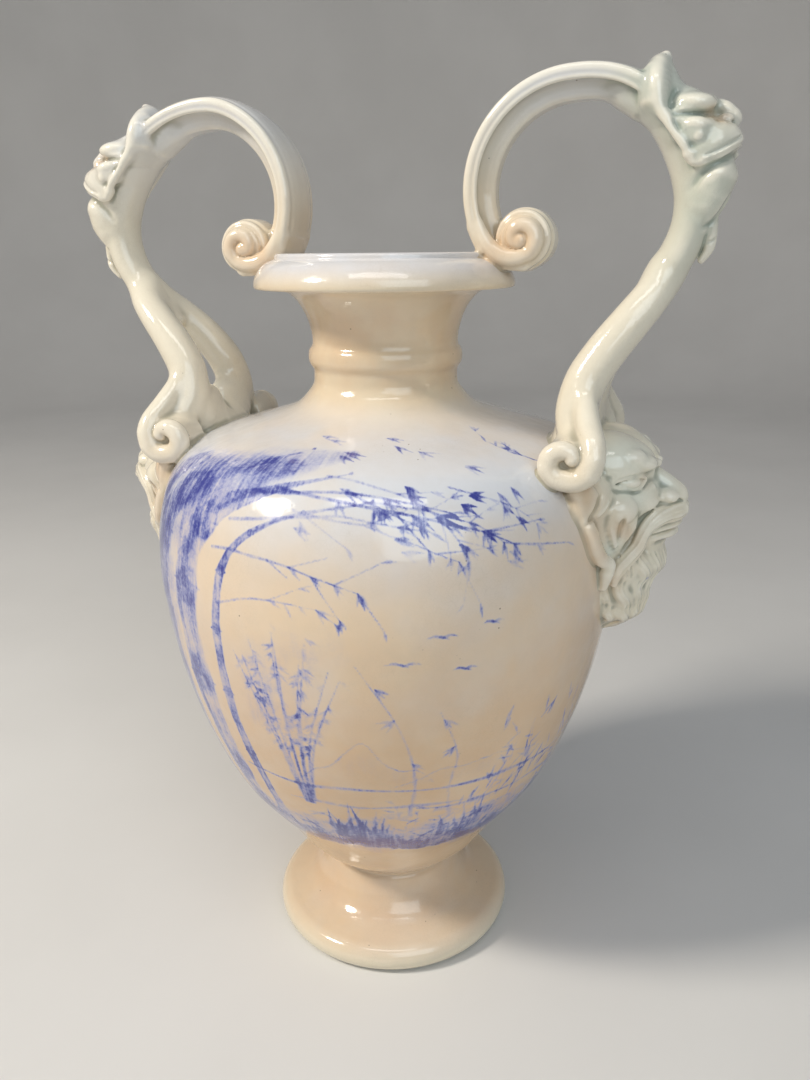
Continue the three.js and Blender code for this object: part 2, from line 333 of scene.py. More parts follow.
def surface_nets(values, low, step):
    """Quads on the zero level of a grid of distances."""
    inside = values < 0
    corners = [(i, j, k) for i in (0, 1) for j in (0, 1) for k in (0, 1)]
    size = np.array(values.shape) - 1

    def part(grid, c):
        return grid[c[0]:c[0] + size[0], c[1]:c[1] + size[1], c[2]:c[2] + size[2]]

    some = np.zeros(size, bool)
    every = np.ones(size, bool)
    for c in corners:
        some |= part(inside, c)
        every &= part(inside, c)
    cells = np.argwhere(some & ~every)
    number = np.full(size, -1, np.int32)
    number[tuple(cells.T)] = np.arange(len(cells))
    total = np.zeros((len(cells), 3))
    count = np.zeros(len(cells))
    for c in corners:
        for axis in range(3):
            if c[axis]:
                continue
            e = list(c)
            e[axis] = 1
            a = values[tuple((cells + c).T)]
            b = values[tuple((cells + e).T)]
            cross = (a < 0) != (b < 0)
            t = np.where(cross, a / np.where(cross, a - b, 1), 0)
            point = np.array(c, float)[None].repeat(len(cells), 0)
            point[:, axis] = t
            total[cross] += point[cross]
            count[cross] += 1
    vertices = low + step * (cells + total / count[:, None])
    quads = []
    for axis in range(3):
        u, v = (axis + 1) % 3, (axis + 2) % 3
        here = [slice(None)] * 3
        there = [slice(None)] * 3
        here[axis], there[axis] = slice(0, -1), slice(1, None)
        change = np.argwhere(inside[tuple(here)] != inside[tuple(there)])
        ok = (change[:, u] > 0) & (change[:, v] > 0)
        ok &= (change[:, u] < size[u]) & (change[:, v] < size[v]) & (change[:, axis] < size[axis])
        change = change[ok]
        ring = []
        for du, dv in ((-1, -1), (0, -1), (0, 0), (-1, 0)):
            cell = change.copy()
            cell[:, u] += du
            cell[:, v] += dv
            ring.append(number[tuple(cell.T)])
        quad = np.stack(ring, 1)
        leaving = inside[tuple(change.T)]
        quad[~leaving] = quad[~leaving][:, ::-1]
        quads.append(quad)
    return vertices, np.vstack(quads)


BLOCK = 8  # grid points along each side of a block
CHUNK = 400000  # points worked out at a time
FAR_REACH, NEAR_REACH = 14.0, 3.0  # millimetres from a shape within which its distance is worked out


def sculpt(field, low, high, step):
    """Mesh of the zero level of field(points, reach), looked for block by block."""
    low = np.asarray(low, float)
    counts = np.ceil((np.asarray(high) - low) / (BLOCK * step)).astype(int)
    index = np.indices(counts).reshape(3, -1).T
    centres = low + (index + 0.5) * BLOCK * step
    centre_values = field(centres, FAR_REACH)
    # half a block's diagonal, and a little for distances that are only about right
    near = np.abs(centre_values) < BLOCK * step * 0.87 + 2.5
    values = np.where(centre_values < 0, -50.0, 50.0).astype(np.float32).reshape(counts)
    for axis in range(3):
        values = np.repeat(values, BLOCK, axis)
    offsets = np.indices((BLOCK, BLOCK, BLOCK)).reshape(3, -1).T
    cells = (index[near][:, None] * BLOCK + offsets[None]).reshape(-1, 3)
    found = np.empty(len(cells), np.float32)
    for start in range(0, len(cells), CHUNK):
        rows = slice(start, start + CHUNK)
        found[rows] = field(low + cells[rows] * step, NEAR_REACH)
    values[tuple(cells.T)] = found
    vertices, quads = surface_nets(values, low, step)
    for _ in range(2):
        vertices = relax(vertices, quads, 0.5)
        vertices = settle_on(field, vertices, step)
    return vertices, quads


def neighbours_mean(vertices, quads):
    """The middle of the vertices that share an edge with each vertex."""
    total = np.zeros_like(vertices)
    count = np.zeros(len(vertices))
    for a, b in ((0, 1), (1, 2), (2, 3), (3, 0)):
        for x, y in ((a, b), (b, a)):
            for axis in range(3):
                total[:, axis] += np.bincount(quads[:, x], vertices[quads[:, y], axis], len(vertices))
            count += np.bincount(quads[:, x], minlength=len(vertices))
    return total / np.maximum(count, 1)[:, None]


def relax(vertices, quads, amount):
    """Draws each vertex towards the middle of its neighbours."""
    return vertices + amount * (neighbours_mean(vertices, quads) - vertices)


def settle_on(field, vertices, step):
    """Moves each vertex along the gradient onto the zero level."""
    d = field(vertices, NEAR_REACH)
    nudge = 0.25
    gradient = np.empty_like(vertices)
    for axis in range(3):
        shift = np.zeros(3)
        shift[axis] = nudge
        gradient[:, axis] = (field(vertices + shift, NEAR_REACH) - d) / nudge
    size = (gradient**2).sum(1)
    move = -(d / np.maximum(size, 0.2))[:, None] * gradient
    move *= np.minimum(1, step / np.maximum(lengths(move), 1e-6))[:, None]
    return vertices + move


# ------------------------------------------------------------------ the handles

# places as (X outwards, Z) or (X, Y to one side, Z), in millimetres
SCROLL_CENTRE = (112, 496.5)
SCROLL_R = 50.5
RIM_VOLUTE = (86.4, 470.8)
SHOULDER_VOLUTE = (121.8, 355)
VOLUTE = [(126, 27, 397), (128, 35.5, 386), (131.2, 46, 375.5), (135.3, 55.8, 366), (136.4, 60, 359),
          (134.4, 61.5, 352), (129.5, 61.8, 347.8), (123.5, 61.8, 347), (117.2, 61.8, 348.8),
          (113.4, 61.8, 354), (114.6, 61.8, 360), (119.3, 61.8, 363), (124, 61.8, 362.2), (126, 62.2, 359.6)]
VOLUTE_SIZE = [5.6, 6.4, 6.9, 7, 6.7, 6.4, 6.3, 6.2, 6.2, 6.2, 6, 5.6, 5.1, 4.6]
LIMB_AXIS = [(157, 530), (167, 515), (173.5, 499), (175, 484), (172, 469), (163, 450), (155.6, 436.5),
             (149.5, 427)]
STRAND = [(163, 0, 452), (158, 10, 441), (148.5, 17, 428), (136.5, 21.5, 412),
          (126.8, 25, 396), (123, 29, 381), (124.2, 34.5, 371), (128, 44, 362), (132, 53, 356.5),
          (133.5, 58.5, 352)]
# how a line is stretched sideways where the surface runs away along Y
WIDE, WIDER = (1, 2, 1), (1, 3, 1)


def box2(a, b, half_a, half_b, rounding):
    """Distance to a bar whose rounded section is 2 half_a by 2 half_b."""
    qa = np.abs(a) - (half_a - rounding)
    qb = np.abs(b) - (half_b - rounding)
    return (np.hypot(np.maximum(qa, 0), np.maximum(qb, 0))
            + np.minimum(np.maximum(qa, qb), 0) - rounding)


HAIR_AXIS = 136  # locks lie outwards from this upright line


def hair(clay, points, radii, k, partings, depth):
    """A lock of hair: a tapered rope with fine partings cut along its outer side.

    partings are their places across it, from -1 to 1."""
    clay.tube(points, radii, k)
    points, radii = np.array(points, float), spread(radii, len(points))
    ahead = np.gradient(points, axis=0)
    outward = points - (HAIR_AXIS, 0, 0)
    outward[:, 2] = 0
    across = unit(np.cross(ahead, unit(outward)))
    out = unit(np.cross(across, ahead))
    for n, place in enumerate(partings):
        lift = math.sqrt(max(0, 1 - place * place))
        lane = points + across * (place * radii)[:, None] + out * (lift * radii)[:, None]
        clay.line(lane, 0.85, -depth * (1 + 0.35 * (n % 2)))


def scroll_and_limb(clay):
    """The C-scroll, moulded like a cornice, and the smooth limb that goes on from it."""
    p = clay.p
    rows = clay.near((50, 0, 425), (190, 20, 560), 6)
    q = p[rows]
    dx, dz = q[:, 0] - SCROLL_CENTRE[0], q[:, 2] - SCROLL_CENTRE[1]
    radius = np.hypot(dx, dz)
    angle = np.degrees(np.arctan2(dz, dx)) % 360
    u = radius - SCROLL_R - 0.8 - 3.0 * step01(-angle, -95, -50)
    y = q[:, 1]
    plate = box2(u - 4.9, y, 3.2, 19, 3)
    bead = np.hypot(u - 1.7, y - 16.9) - 1.55
    crown = box2(u - 6.4, y, 2.2, 13, 2.1)
    rib = box2(u + 1.8, y, 6, 7.4, 3.4)
    section = smooth_min(smooth_min(smooth_min(plate, bead, 0.8), crown, 1.6), rib, 11)
    # the C runs from 50 to 215 degrees round from +X and ends in flat faces
    over = np.where(angle > 312, 50 + 360 - angle, np.maximum(angle - 215, 50 - angle))
    over = np.radians(over) * SCROLL_R
    ended = np.where(section > 0, np.hypot(section, over), over)
    section = np.where(over <= 0, section, ended)
    clay.blend(rows, section, 0)
    limb = [(p[0], 0, p[1]) for p in LIMB_AXIS]
    clay.tube([(138, 0, 542)] + limb, [8.6, 9.6, 10.4, 10.6, 10.2, 10, 10, 9.2, 7], 6,
              flat=(1, 1.28, 1), steps=6)


def rim_volute(clay):
    """The scroll's end, rolled up on the rim."""
    x, z = RIM_VOLUTE
    rows, far, y = clay.round_axis(x, z, 20, 0, 24)
    roll = box2(far, y, 16.7, 9.6, 3)
    step = box2(far, y, 15.4, 15.2, 2.4)
    disc = box2(far, y, 12, 17.4, 1.6)
    clay.blend(rows, smooth_min(smooth_min(roll, step, 1), disc, 1.2), 3.5)
    # the scroll's band runs on under the volute, and its side rolls up in a spiral
    under = np.array([(59.2, 0, 477.3), (63.4, 0, 469), (69.4, 0, 462.6), (77.5, 0, 458.8), (87, 0, 457.8)])
    rows, far, _ = clay.along(catmull(under, 4), 26, (1, 1e6, 1))
    clay.blend(rows, box2(far, clay.p[rows][:, 1], 4.4, 17, 2.6), 2.5)
    turn = np.radians(np.array([185, 203, 222, 245, 270, 305, 340, 375, 410, 445, 480, 515, 550, 585]))
    reach = np.array([20.5, 17, 13.8, 11, 9.3, 8.2, 7.6, 7.2, 7, 6.8, 6.4, 5.7, 4.6, 3.2])
    spiral = np.stack([x + reach * np.cos(turn), 16.0 + 0.9 * (reach < 8), z + reach * np.sin(turn)], 1)
    spiral = np.vstack([[(58.6, 14.5, 487), (61.2, 15.5, 478)], spiral])
    clay.tube(spiral, [1.6, 3.6, 4.6, 5, 5.2, 5.2, 5, 4.8, 4.7, 4.6, 4.5, 4.4, 4.3, 4.1, 3.9, 3.7],
              1, steps=3)
    clay.ball((x - 1, 17.8, z - 1.2), (4, 3.4, 4), 1)


def strands(clay):
    """The limb's two roots, which part like a wishbone and end in volutes on the shoulder."""
    clay.tube(STRAND, [9.5, 10.2, 10.8, 11.4, 11.8, 11.8, 11.4, 10.2, 8.6, 7], 5, steps=4)
    clay.tube([(118, 0, 352), (120.5, 12, 356), (121.5, 22, 362)], [15, 15, 12], 7)
    clay.ball((122, 14, 372), (10, 14, 12), 9)
    x, z = SHOULDER_VOLUTE
    rows, far, y = clay.round_axis(x, z, 22, 36, 70)
    clay.blend(rows, box2(far, y - 50, 13.2, 12, 4), 4)
    clay.tube(VOLUTE[:6], VOLUTE_SIZE[:6], 4)
    clay.tube(VOLUTE[4:], VOLUTE_SIZE[4:], 0.8)


HEAD_BACK = np.array([(448, 151.5), (460, 156.2), (470.8, 160.6), (481.6, 164), (490.9, 163.7),
                      (500.8, 162.5), (505.1, 160.7), (513, 155.7), (523.6, 149), (530, 141.3),
                      (535, 133)])


# ---- the upper head: small and grotesque, with a leaf-shaped hood, looking outwards from the bend

def hooded_skull(clay):
    """Hood, skull, face and jaw in one, cut off behind along the handle's bend."""
    apart = clay.apart()
    clay.ball((153.5, 0, 538), (10.2, 21.5, 21.5), 1.2, tilt=-4)
    clay.ball((151.8, 12, 539.5), (8, 11.2, 13.5), 2.5)
    clay.tube([(151, 0, 545), (153, 0, 553), (155.3, 0, 558.8)], [9, 5.8, 2], 4, flat=(1, 1.2, 1))
    clay.ball((165, 0, 526), (16, 21, 15), 4)
    clay.tube([(168, 0, 529), (178, 0, 517), (180.5, 0, 504), (178.5, 0, 488)],
              [12, 12.8, 12.8, 10.5], 4, flat=(1, 1.42, 1), steps=8)
    clay.tube([(156, 0, 550), (162, 0, 542), (172, 0, 535)], [2.4, 4.4, 5], 5, flat=(1, 1.9, 1))
    back = np.interp(clay.p[:, 2], HEAD_BACK[:, 0], HEAD_BACK[:, 1]) + clay.p[:, 1] ** 2 / 36
    clay.blend(slice(None), (back + 1.2 - clay.p[:, 0]) * 0.8, 4, cut=None)
    clay.join(apart, 2)


def hood_edge(clay):
    """The edge of the hood runs down the temple to the moustache."""
    clay.tube([(149, 11, 549.5), (154, 16.5, 541), (155.5, 19.8, 532), (159.5, 20.9, 526),
               (164, 21, 520), (168, 20.6, 514.5), (170.5, 19.8, 510.5)],
              [3, 3.2, 3, 2.7, 2.5, 2.3, 1.8], 4.6)
    clay.tube([(155, 0, 556), (154, 8, 551), (154.2, 14, 544)], [2.2, 2.8, 2.8], 2.5)
    clay.line([(158, 6, 552), (158.5, 12, 545), (159.5, 17, 537), (160.5, 20, 531)], 3.4, -1.6, WIDER)


def upper_brow_and_cheek(clay):
    """A brow in two lobes, the frown between them, and a cheekbone with the pit behind it."""
    clay.ball((171, 10.5, 534.4), (11, 9.5, 5.2), 1.8, tilt=3)
    clay.ball((177.4, 5, 535.6), (5, 5.6, 3.4), 2)
    clay.line([(170, 0, 542), (176, 0, 540), (182, 0, 536), (184, 0, 532)], 1.6, -1.2)
    clay.line([(163, 22, 528.6), (168, 19, 528.8), (174, 16, 528.6), (180, 11, 528.8),
               (184.5, 8, 530)], 1.5, -3, WIDER)
    clay.ball((173, 16, 523.6), (8, 7.4, 4.2), 1.2, tilt=(0, 6, -18))
    clay.ball((174.2, 15.5, 518.8), (5.6, 7.4, 5.4), 2.4)
    clay.ball((181.5, 11.5, 520), (7.5, 7.5, 6.4), 4)
    clay.ball((169, 17.2, 520.5), (6, 4.6, 5.6), 2.5)
    clay.line([(162, 24, 527), (163.8, 24, 523.5), (166.5, 23.5, 520)], 1.9, -1.6, WIDER)


def upper_nose(clay):
    clay.tube([(179, 0, 534), (185.5, 0, 532), (189.5, 0, 528.6)], [4, 4.6, 4.8], 2, flat=(1, 1.2, 1))
    clay.ball((190.4, 0, 527.4), (4.7, 5.6, 4.6), 1)
    clay.ball((187, 6, 526), (4.4, 3.4, 3.8), 1.2)
    clay.ball((190.8, 7, 524.6), (2, 3, 1.9), 0.8, cut=True)
    clay.line([(181, 13, 530), (182.8, 13, 526.4), (185.2, 12, 523.5)], 2, -1.4, WIDER)


def upper_mouth(clay):
    """Muzzle, moustache, and the open mouth cut under it."""
    clay.ball((186.5, 6.5, 516.4), (9.8, 9, 7), 2)
    clay.tube([(190, 4, 520), (188.5, 10.5, 518.6), (184.5, 14.6, 516), (179, 16.8, 513),
               (173.6, 18, 510.6)], [5, 5, 4.6, 3.8, 2.8], 3)
    clay.tube([(178, 17.2, 507.8), (173.5, 18, 507), (170, 18.8, 510)], [3.1, 2.7, 2.2], 2.2)
    hair(clay, [(191.5, 3, 516.4), (191.6, 9, 514.8), (188.3, 13.6, 512.4), (183.5, 16.2, 509.8),
                (178, 17.2, 507.8)], [4.4, 4.5, 4.1, 3.5, 3.1], 2.2, (-0.75, 0), 1.2)
    clay.ball((193.2, 0, 510.4), (2, 3.4, 1.8), 2)
    clay.line([(195, 8, 512.5), (192.4, 12.8, 509.4), (188.3, 15, 506.2), (184, 17.4, 504.4),
               (180, 18.4, 502.2), (176, 18.2, 498.6), (172.2, 17.6, 493.6)], 2, -4.4, WIDE)


def upper_beard(clay):
    clay.tube([(185, 3, 500), (183.5, 3.5, 490), (181, 4, 482), (180, 4, 476)],
              [10.4, 9, 6.4, 3.6], 3, flat=(1, 1.35, 1), steps=10)
    clay.ball((189.3, 2, 499.5), (5.8, 10, 5.6), 2.5)
    clay.tube([(183, 0, 484), (184.6, 0, 474), (184.6, 0, 465), (181.5, 0, 458.8)],
              [5, 4, 3.4, 2], 1.2, flat=(1, 1.4, 1))
    clay.line([(192.6, 6, 491), (190.9, 7.2, 487), (188.7, 7, 482.3), (184.9, 7.5, 477.6),
               (180.8, 9.4, 475.4)], 1.2, -2, WIDE)
    clay.line([(188, 3.2, 470), (186, 4, 468.4), (183.7, 4.7, 467.4)], 0.8, -1, WIDE)
    clay.line([(189.2, 0, 474), (189, 0, 466), (185, 0, 459)], 0.8, -0.7)


# ---- the lower mask: a satyr with a heavy brow and a long moustache, on the vase's shoulder

MOUSTACHE = [(182, 4, 320.3), (176.5, 11, 319.6), (170.5, 18.5, 317.4), (166, 22.5, 313), (163.6, 24, 308),
             (161.5, 25, 301.8), (157.8, 27.6, 296.5), (153.2, 30, 290.5), (150.8, 31, 285.5),
             (149.6, 31.5, 279.5)]
# heights down the beard, with its reach forwards and sideways there
BEARD = np.array([(303, 166, 28.5), (291, 174, 31), (281, 173, 31.5), (271, 166.5, 30.5), (262, 167, 28),
                  (254, 163, 24.5), (246, 156, 19), (239, 147, 11)])


def beard_lock(clay, turn, top, bottom, sway, size):
    """One waved lock; turn is degrees round the chin from its front, and it drifts back as it falls."""
    s = np.linspace(0, 1, 8)
    z = top + (bottom - top) * s
    a = np.radians(turn + sway * np.sin(2 * np.pi * (0.8 * s + 0.1)) + 9 * s)
    front = np.interp(-z, -BEARD[:, 0], BEARD[:, 1]) - HAIR_AXIS
    wide = np.interp(-z, -BEARD[:, 0], BEARD[:, 2])
    swell = 1 - 0.14 * np.cos(np.pi * s) ** 2 - 0.06 * s**3
    path = np.stack([HAIR_AXIS + front * np.cos(a) * swell, wide * np.sin(a) * swell, z], 1)
    path[:, 1] = np.maximum(path[:, 1], 0.8)
    hair(clay, path, size * np.array([0.8, 1, 1, 0.95, 0.85, 0.75, 0.6, 0.3]), 3.6, (-0.4, 0.3), 0.9)


def lower_form(clay):
    """The underlying form, with a forehead in two domes."""
    clay.ball((136, 0, 316), (28, 43, 40), 4)
    clay.ball((139, 0, 281), (21, 27, 40), 6)
    clay.tube([(152, 0, 338), (160, 0, 326), (165, 0, 312), (163, 0, 298)], [13, 14.5, 14, 12], 5,
              flat=(1, 1.45, 1))
    clay.ball((134, 36, 331), (12, 16, 17), 5)
    clay.ball((139, 13, 346), (24.5, 24, 20), 3)
    clay.ball((147, 8, 346), (20.5, 12.5, 15.5), 3)
    clay.line([(150, 0, 364), (160, 0, 357), (168, 0, 350), (171, 0, 345)], 1.8, -1.6)
    clay.ball((128, 40, 356), (12, 9, 12), 4)


def lower_brow(clay):
    clay.ball((157, 16.5, 349.6), (11.5, 10.5, 5.6), 2, tilt=(0, 6, -24))
    clay.ball((154.8, 22.8, 352.6), (8.6, 7, 6), 1.6, tilt=(0, 10, -40))
    clay.tube([(168, 4.5, 347), (161.5, 15, 348), (153, 25, 348.4), (145, 32, 347)],
              [2.4, 2.8, 2.6, 2], 1.8)


def lower_eye(clay):
    clay.ball((155.2, 27.6, 340.2), (10.4, 4.8, 4.3), 2, tilt=(0, 0, -40), cut=True)
    clay.ball((152.8, 23.4, 339), (10.4, 6, 4.2), 0.5, tilt=(0, 0, -40))
    clay.tube([(144.6, 34.6, 340), (149.6, 32, 342.4), (154.5, 28.2, 343.3), (159.2, 23.6, 343),
               (162.6, 19.6, 341.2)], [0.9, 1.4, 1.6, 1.5, 0.9], 0.6)
    clay.tube([(144.8, 34.4, 339.2), (150.2, 30.6, 336.9), (155.5, 26.2, 335.6), (160.2, 22.2, 336.6),
               (162.8, 19.6, 340)], [0.8, 1.2, 1.3, 1.2, 0.8], 0.8)
    clay.ball((155.4, 26, 339.3), (5.6, 3.4, 3.3), 0.8, tilt=(0, 0, -40))
    clay.line([(167.5, 7, 344.2), (161.5, 18, 345.4), (153.5, 27.5, 346), (146, 33.5, 345),
               (141.5, 38, 343)], 1.7, -0.7, WIDE)
    clay.line([(143, 37.5, 337.5), (148.5, 33, 334.6), (155, 28, 332.8), (161.5, 22.5, 333.2)],
              1.1, -0.9, WIDE)
    clay.tube([(142, 36.5, 334.5), (147, 32.5, 331.8), (153, 28, 330), (159, 23, 330), (165.5, 14.5, 334.5)],
              [1.6, 2.2, 2.6, 2.6, 2.2], 3)


def lower_nose(clay):
    clay.tube([(162, 0, 343), (167.6, 0, 339), (173.6, 0, 334.6), (179.4, 0, 329.6), (180.2, 0, 327)],
              [4.4, 4.6, 5.2, 5.9, 6], 3, flat=(1, 1.2, 1))
    clay.ball((180.2, 0, 327), (6.4, 7.2, 6.2), 1.2)
    clay.ball((174.8, 8.4, 328), (6.8, 5.8, 5), 3)
    clay.ball((182.4, 8.8, 325), (3.2, 3.6, 2.5), 0.9, tilt=(0, 20, 0), cut=True)
    clay.line([(171, 14.8, 331), (168.6, 14.4, 326.5), (172, 13.6, 323)], 1.6, -0.9, WIDER)


def lower_cheek(clay):
    """The cheek, ending in two drops."""
    clay.ball((147.9, 28.8, 324.4), (12.4, 12.2, 10.4), 2)
    clay.ball((160, 17.2, 326.6), (8.8, 7, 5), 7)
    clay.tube([(147.6, 32, 320), (147.6, 33.2, 315.6), (148, 33.4, 312)], [5.8, 4.8, 3], 1.4)
    clay.tube([(154.6, 26.8, 319), (155.6, 26.2, 313.4), (154.8, 27.2, 307.4)], [5.8, 4.5, 2.4], 1.4)
    clay.line([(153.4, 37, 322.5), (152, 36, 317), (151.2, 34.5, 312.6), (150.6, 33, 307.5)], 1.5, -2.8,
              WIDE)
    clay.line([(171, 15, 326), (165.8, 20, 321.2), (161.2, 22.8, 316.2), (158.4, 24.2, 311.1),
               (156.2, 26.4, 305.5), (153, 29.6, 300)], 1.3, -2.2, WIDE)
    clay.tube([(145.2, 37.5, 322), (145.6, 38, 314), (148.6, 36, 304)], [2, 2.4, 1.6], 2.6)


def lower_mouth(clay):
    """Muzzle, moustache and parted lips."""
    clay.ball((174.4, 6, 318.4), (11.2, 10.4, 6.4), 2)
    hair(clay, MOUSTACHE, [5.6, 6, 5.2, 4.4, 4, 4.2, 4.2, 3.8, 3.5, 1.8], 1.6,
         (-0.95, -0.5, -0.05, 0.5), 1.4)
    clay.line([(187, 0, 309.4), (182.5, 8, 309.2), (175, 15.5, 308.6), (167.5, 20, 306.6)], 1.7, -3.4, WIDE)
    clay.tube([(182.4, 0, 312), (180.4, 8, 311.8), (174.4, 14.6, 310.8), (169, 18.6, 309)],
              [2.2, 2, 1.6, 1], 1)
    clay.tube([(179.6, 0, 305.8), (177.2, 6.5, 305.6), (171.8, 12.5, 305), (167, 16, 304.2)],
              [3.2, 3, 2.4, 1.4], 1)
    clay.line([(181, 0, 300.8), (176.5, 8.5, 301), (169.5, 15, 301.4)], 1.8, -1.8, WIDE)


def lower_beard(clay):
    """A full beard, with three rows of waved locks over it."""
    clay.ball((160.5, 4.5, 288.5), (13.8, 15, 13.5), 4, tilt=10)
    clay.ball((153, 14, 284), (13, 13.6, 15), 4, tilt=14)
    clay.ball((154.5, 4, 268.5), (12, 13.2, 13.5), 4)
    clay.ball((147.5, 13.5, 266), (11, 11.2, 15), 4)
    clay.ball((147.5, 2.5, 253), (10.5, 8.5, 11), 4, tilt=30)
    for top, bottom, size, turns in ((266, 240, 4.4, (2, 20, 39, 60)),
                                     (285, 252, 4.8, (8, 27, 48, 72)),
                                     (302, 269, 4.9, (0, 17, 35, 54, 76))):
        for n, turn in enumerate(turns):
            lower = bottom + 5 * (n % 2) + 3 * (n // 2)
            beard_lock(clay, turn, top - 2 * (n % 2), lower, 6 + 2.5 * (n % 3), size - 0.5 * (n % 2))


def side_lock_and_ear(clay):
    clay.tube([(126, 55, 345), (129.8, 54, 335), (131.8, 53.2, 327), (134.2, 52, 320.5), (137.2, 50.3, 313.5),
               (139.6, 48.4, 306), (143.2, 45, 299), (148, 40.5, 294.5)],
              [6.4, 5.4, 4.4, 4.7, 5.6, 5.8, 5, 3.2], 1.8, flat=(0.8, 1, 1), steps=9)
    clay.ball((131.6, 52, 332), (9.4, 5.6, 11.5), 1.2, tilt=(0, 10, -30))
    clay.tube([(124, 56.6, 338), (127.8, 56.6, 329.5), (132.4, 55.2, 321.4)], [0.9, 1.1, 0.9], 1.4)
    clay.tube([(139, 49.8, 337), (137.4, 51.2, 329), (133, 54.8, 321.8)], [1.1, 1.1, 0.9], 1.4)
    clay.line([(146.5, 42.5, 334), (143, 47, 328), (139, 51, 321.5)], 1.1, 1.1)
    clay.line([(148, 40.5, 329), (144.5, 44.5, 322), (141, 48.5, 315.5)], 1.1, 1)
    clay.tube([(146.4, 40.4, 296), (146, 39.8, 289), (144.6, 38.2, 279.5)], [3.6, 4.2, 2.4], 2.4)
    clay.line([(143.5, 46, 324), (144.6, 44, 314), (147.5, 40, 304), (150.5, 36, 297)], 2.2, -1.6, (1, 4, 1))
    clay.line([(141, 49.5, 338.5), (139, 50.6, 330.5), (134.8, 54.4, 321.5)], 1.4, -2.6, WIDE)


# the part of space that the handles are in
TABLE_RADIUS, TABLE_BOTTOM, TABLE_TOP = 210, 190, 570


def body_distance_table():
    """Signed distance to the turned body's outer surface on a 1 mm grid of (r, z)."""
    foot, body, neck, lip, rim = outer_profile()
    line = resample(np.vstack([foot[10:], body, neck, lip, rim[:14]]), 2)
    line = np.vstack([line, [(0, 456)]])
    size = TABLE_RADIUS + 1, TABLE_TOP - TABLE_BOTTOM + 1
    flat = np.indices(size).reshape(2, -1).T + (0, TABLE_BOTTOM)
    near = np.full(len(flat), 1e9)
    inside = np.zeros(len(flat), bool)
    for a, b in zip(line, line[1:]):
        if max(a[1], b[1]) < TABLE_BOTTOM - 10:
            continue
        ab = b - a
        t = np.clip((flat - a) @ ab / max(ab @ ab, 1e-12), 0, 1)
        gap = flat - a - t[:, None] * ab
        near = np.minimum(near, (gap**2).sum(1))
        low, high = min(a[1], b[1]), max(a[1], b[1])
        span = (flat[:, 1] >= low) & (flat[:, 1] < high)
        if high > low:
            at = a[0] + (flat[:, 1] - a[1]) / (b[1] - a[1]) * ab[0]
            inside ^= span & (flat[:, 0] < at)
    d = np.sqrt(near)
    return np.where(inside, -d, d).reshape(size).astype(np.float32)


BODY_TABLE = body_distance_table()


def body_distance(points):
    """Signed distance to the body, read from the table."""
    r = np.clip(np.hypot(points[:, 0], points[:, 1]), 0, TABLE_RADIUS - 0.01)
    z = np.clip(points[:, 2] - TABLE_BOTTOM, 0, TABLE_TOP - TABLE_BOTTOM - 0.01)
    return between(BODY_TABLE.T, z, r)


def handle_field(points, reach):
    """Signed distance to one handle, grown together with the body and cut off inside its wall."""
    clay = Clay(points, reach)
    for model in (scroll_and_limb, rim_volute, strands, hooded_skull, hood_edge, upper_brow_and_cheek,
                  upper_nose, upper_mouth, upper_beard, lower_form, lower_brow, lower_eye, lower_nose,
                  lower_cheek, lower_mouth, lower_beard, side_lock_and_ear):
        model(clay)
    wall = body_distance(points)
    sink = 0.35 * step01(clay.d, 2.5, 5.5)
    joined = smooth_min(clay.d, wall + 0.25 + sink, 3.5)
    return np.maximum(np.maximum(joined, clay.d - 6), -wall - 3.5)


def concavity(vertices, quads):
    """How hollow the surface is at each vertex: above 0 in creases, below 0 on ridges."""
    sides = [np.take(vertices, quads[:, k], 0) for k in range(4)]
    face_normal = np.cross(sides[2] - sides[0], sides[3] - sides[1])
    normal = np.zeros_like(vertices)
    for k in range(4):
        for axis in range(3):
            normal[:, axis] += np.bincount(quads[:, k], face_normal[:, axis], len(vertices))
    normal /= np.maximum(lengths(normal), 1e-9)[:, None]
    smoothed = vertices
    for _ in range(14):
        smoothed = relax(smoothed, quads, 0.9)
    bend = ((smoothed - vertices) * normal).sum(1)
    for _ in range(2):
        bend = neighbours_mean(bend[:, None].repeat(3, 1), quads)[:, 0]
    return bend


def halo(points, centres):
    """The sum of soft blobs: each of centres is (x, |y|, z, radius, strength)."""
    folded = points * (1, 0, 1) + np.abs(points) * (0, 1, 0)
    total = np.zeros(len(points))
    for x, y, z, radius, strength in centres:
        total += strength * np.exp(-((folded - (x, y, z)) ** 2).sum(1) / radius**2)
    return np.clip(total, 0, 1)


SAG_DROP, SAG_BOW = 8, 6  # millimetres
LEFT_AQUA = 0.15  # of the right handle's aqua tint and painted shade, since the left handle faces the key light


def sagged(v):
    """The other handle, which sank and bowed outwards a little in the kiln."""
    x, z = v[:, 0], v[:, 2]
    out = v.copy()
    out[:, 0] += SAG_BOW * step01(x, 110, 165) * step01(z, 415, 470) * (1 - step01(z, 480, 560))
    out[:, 2] -= SAG_DROP * (0.35 + 0.65 * step01(x, 90, 150)) * step01(z, 380, 470)
    return out * (-1, -1, 1)


HANDLE_TRIANGLES = 190000
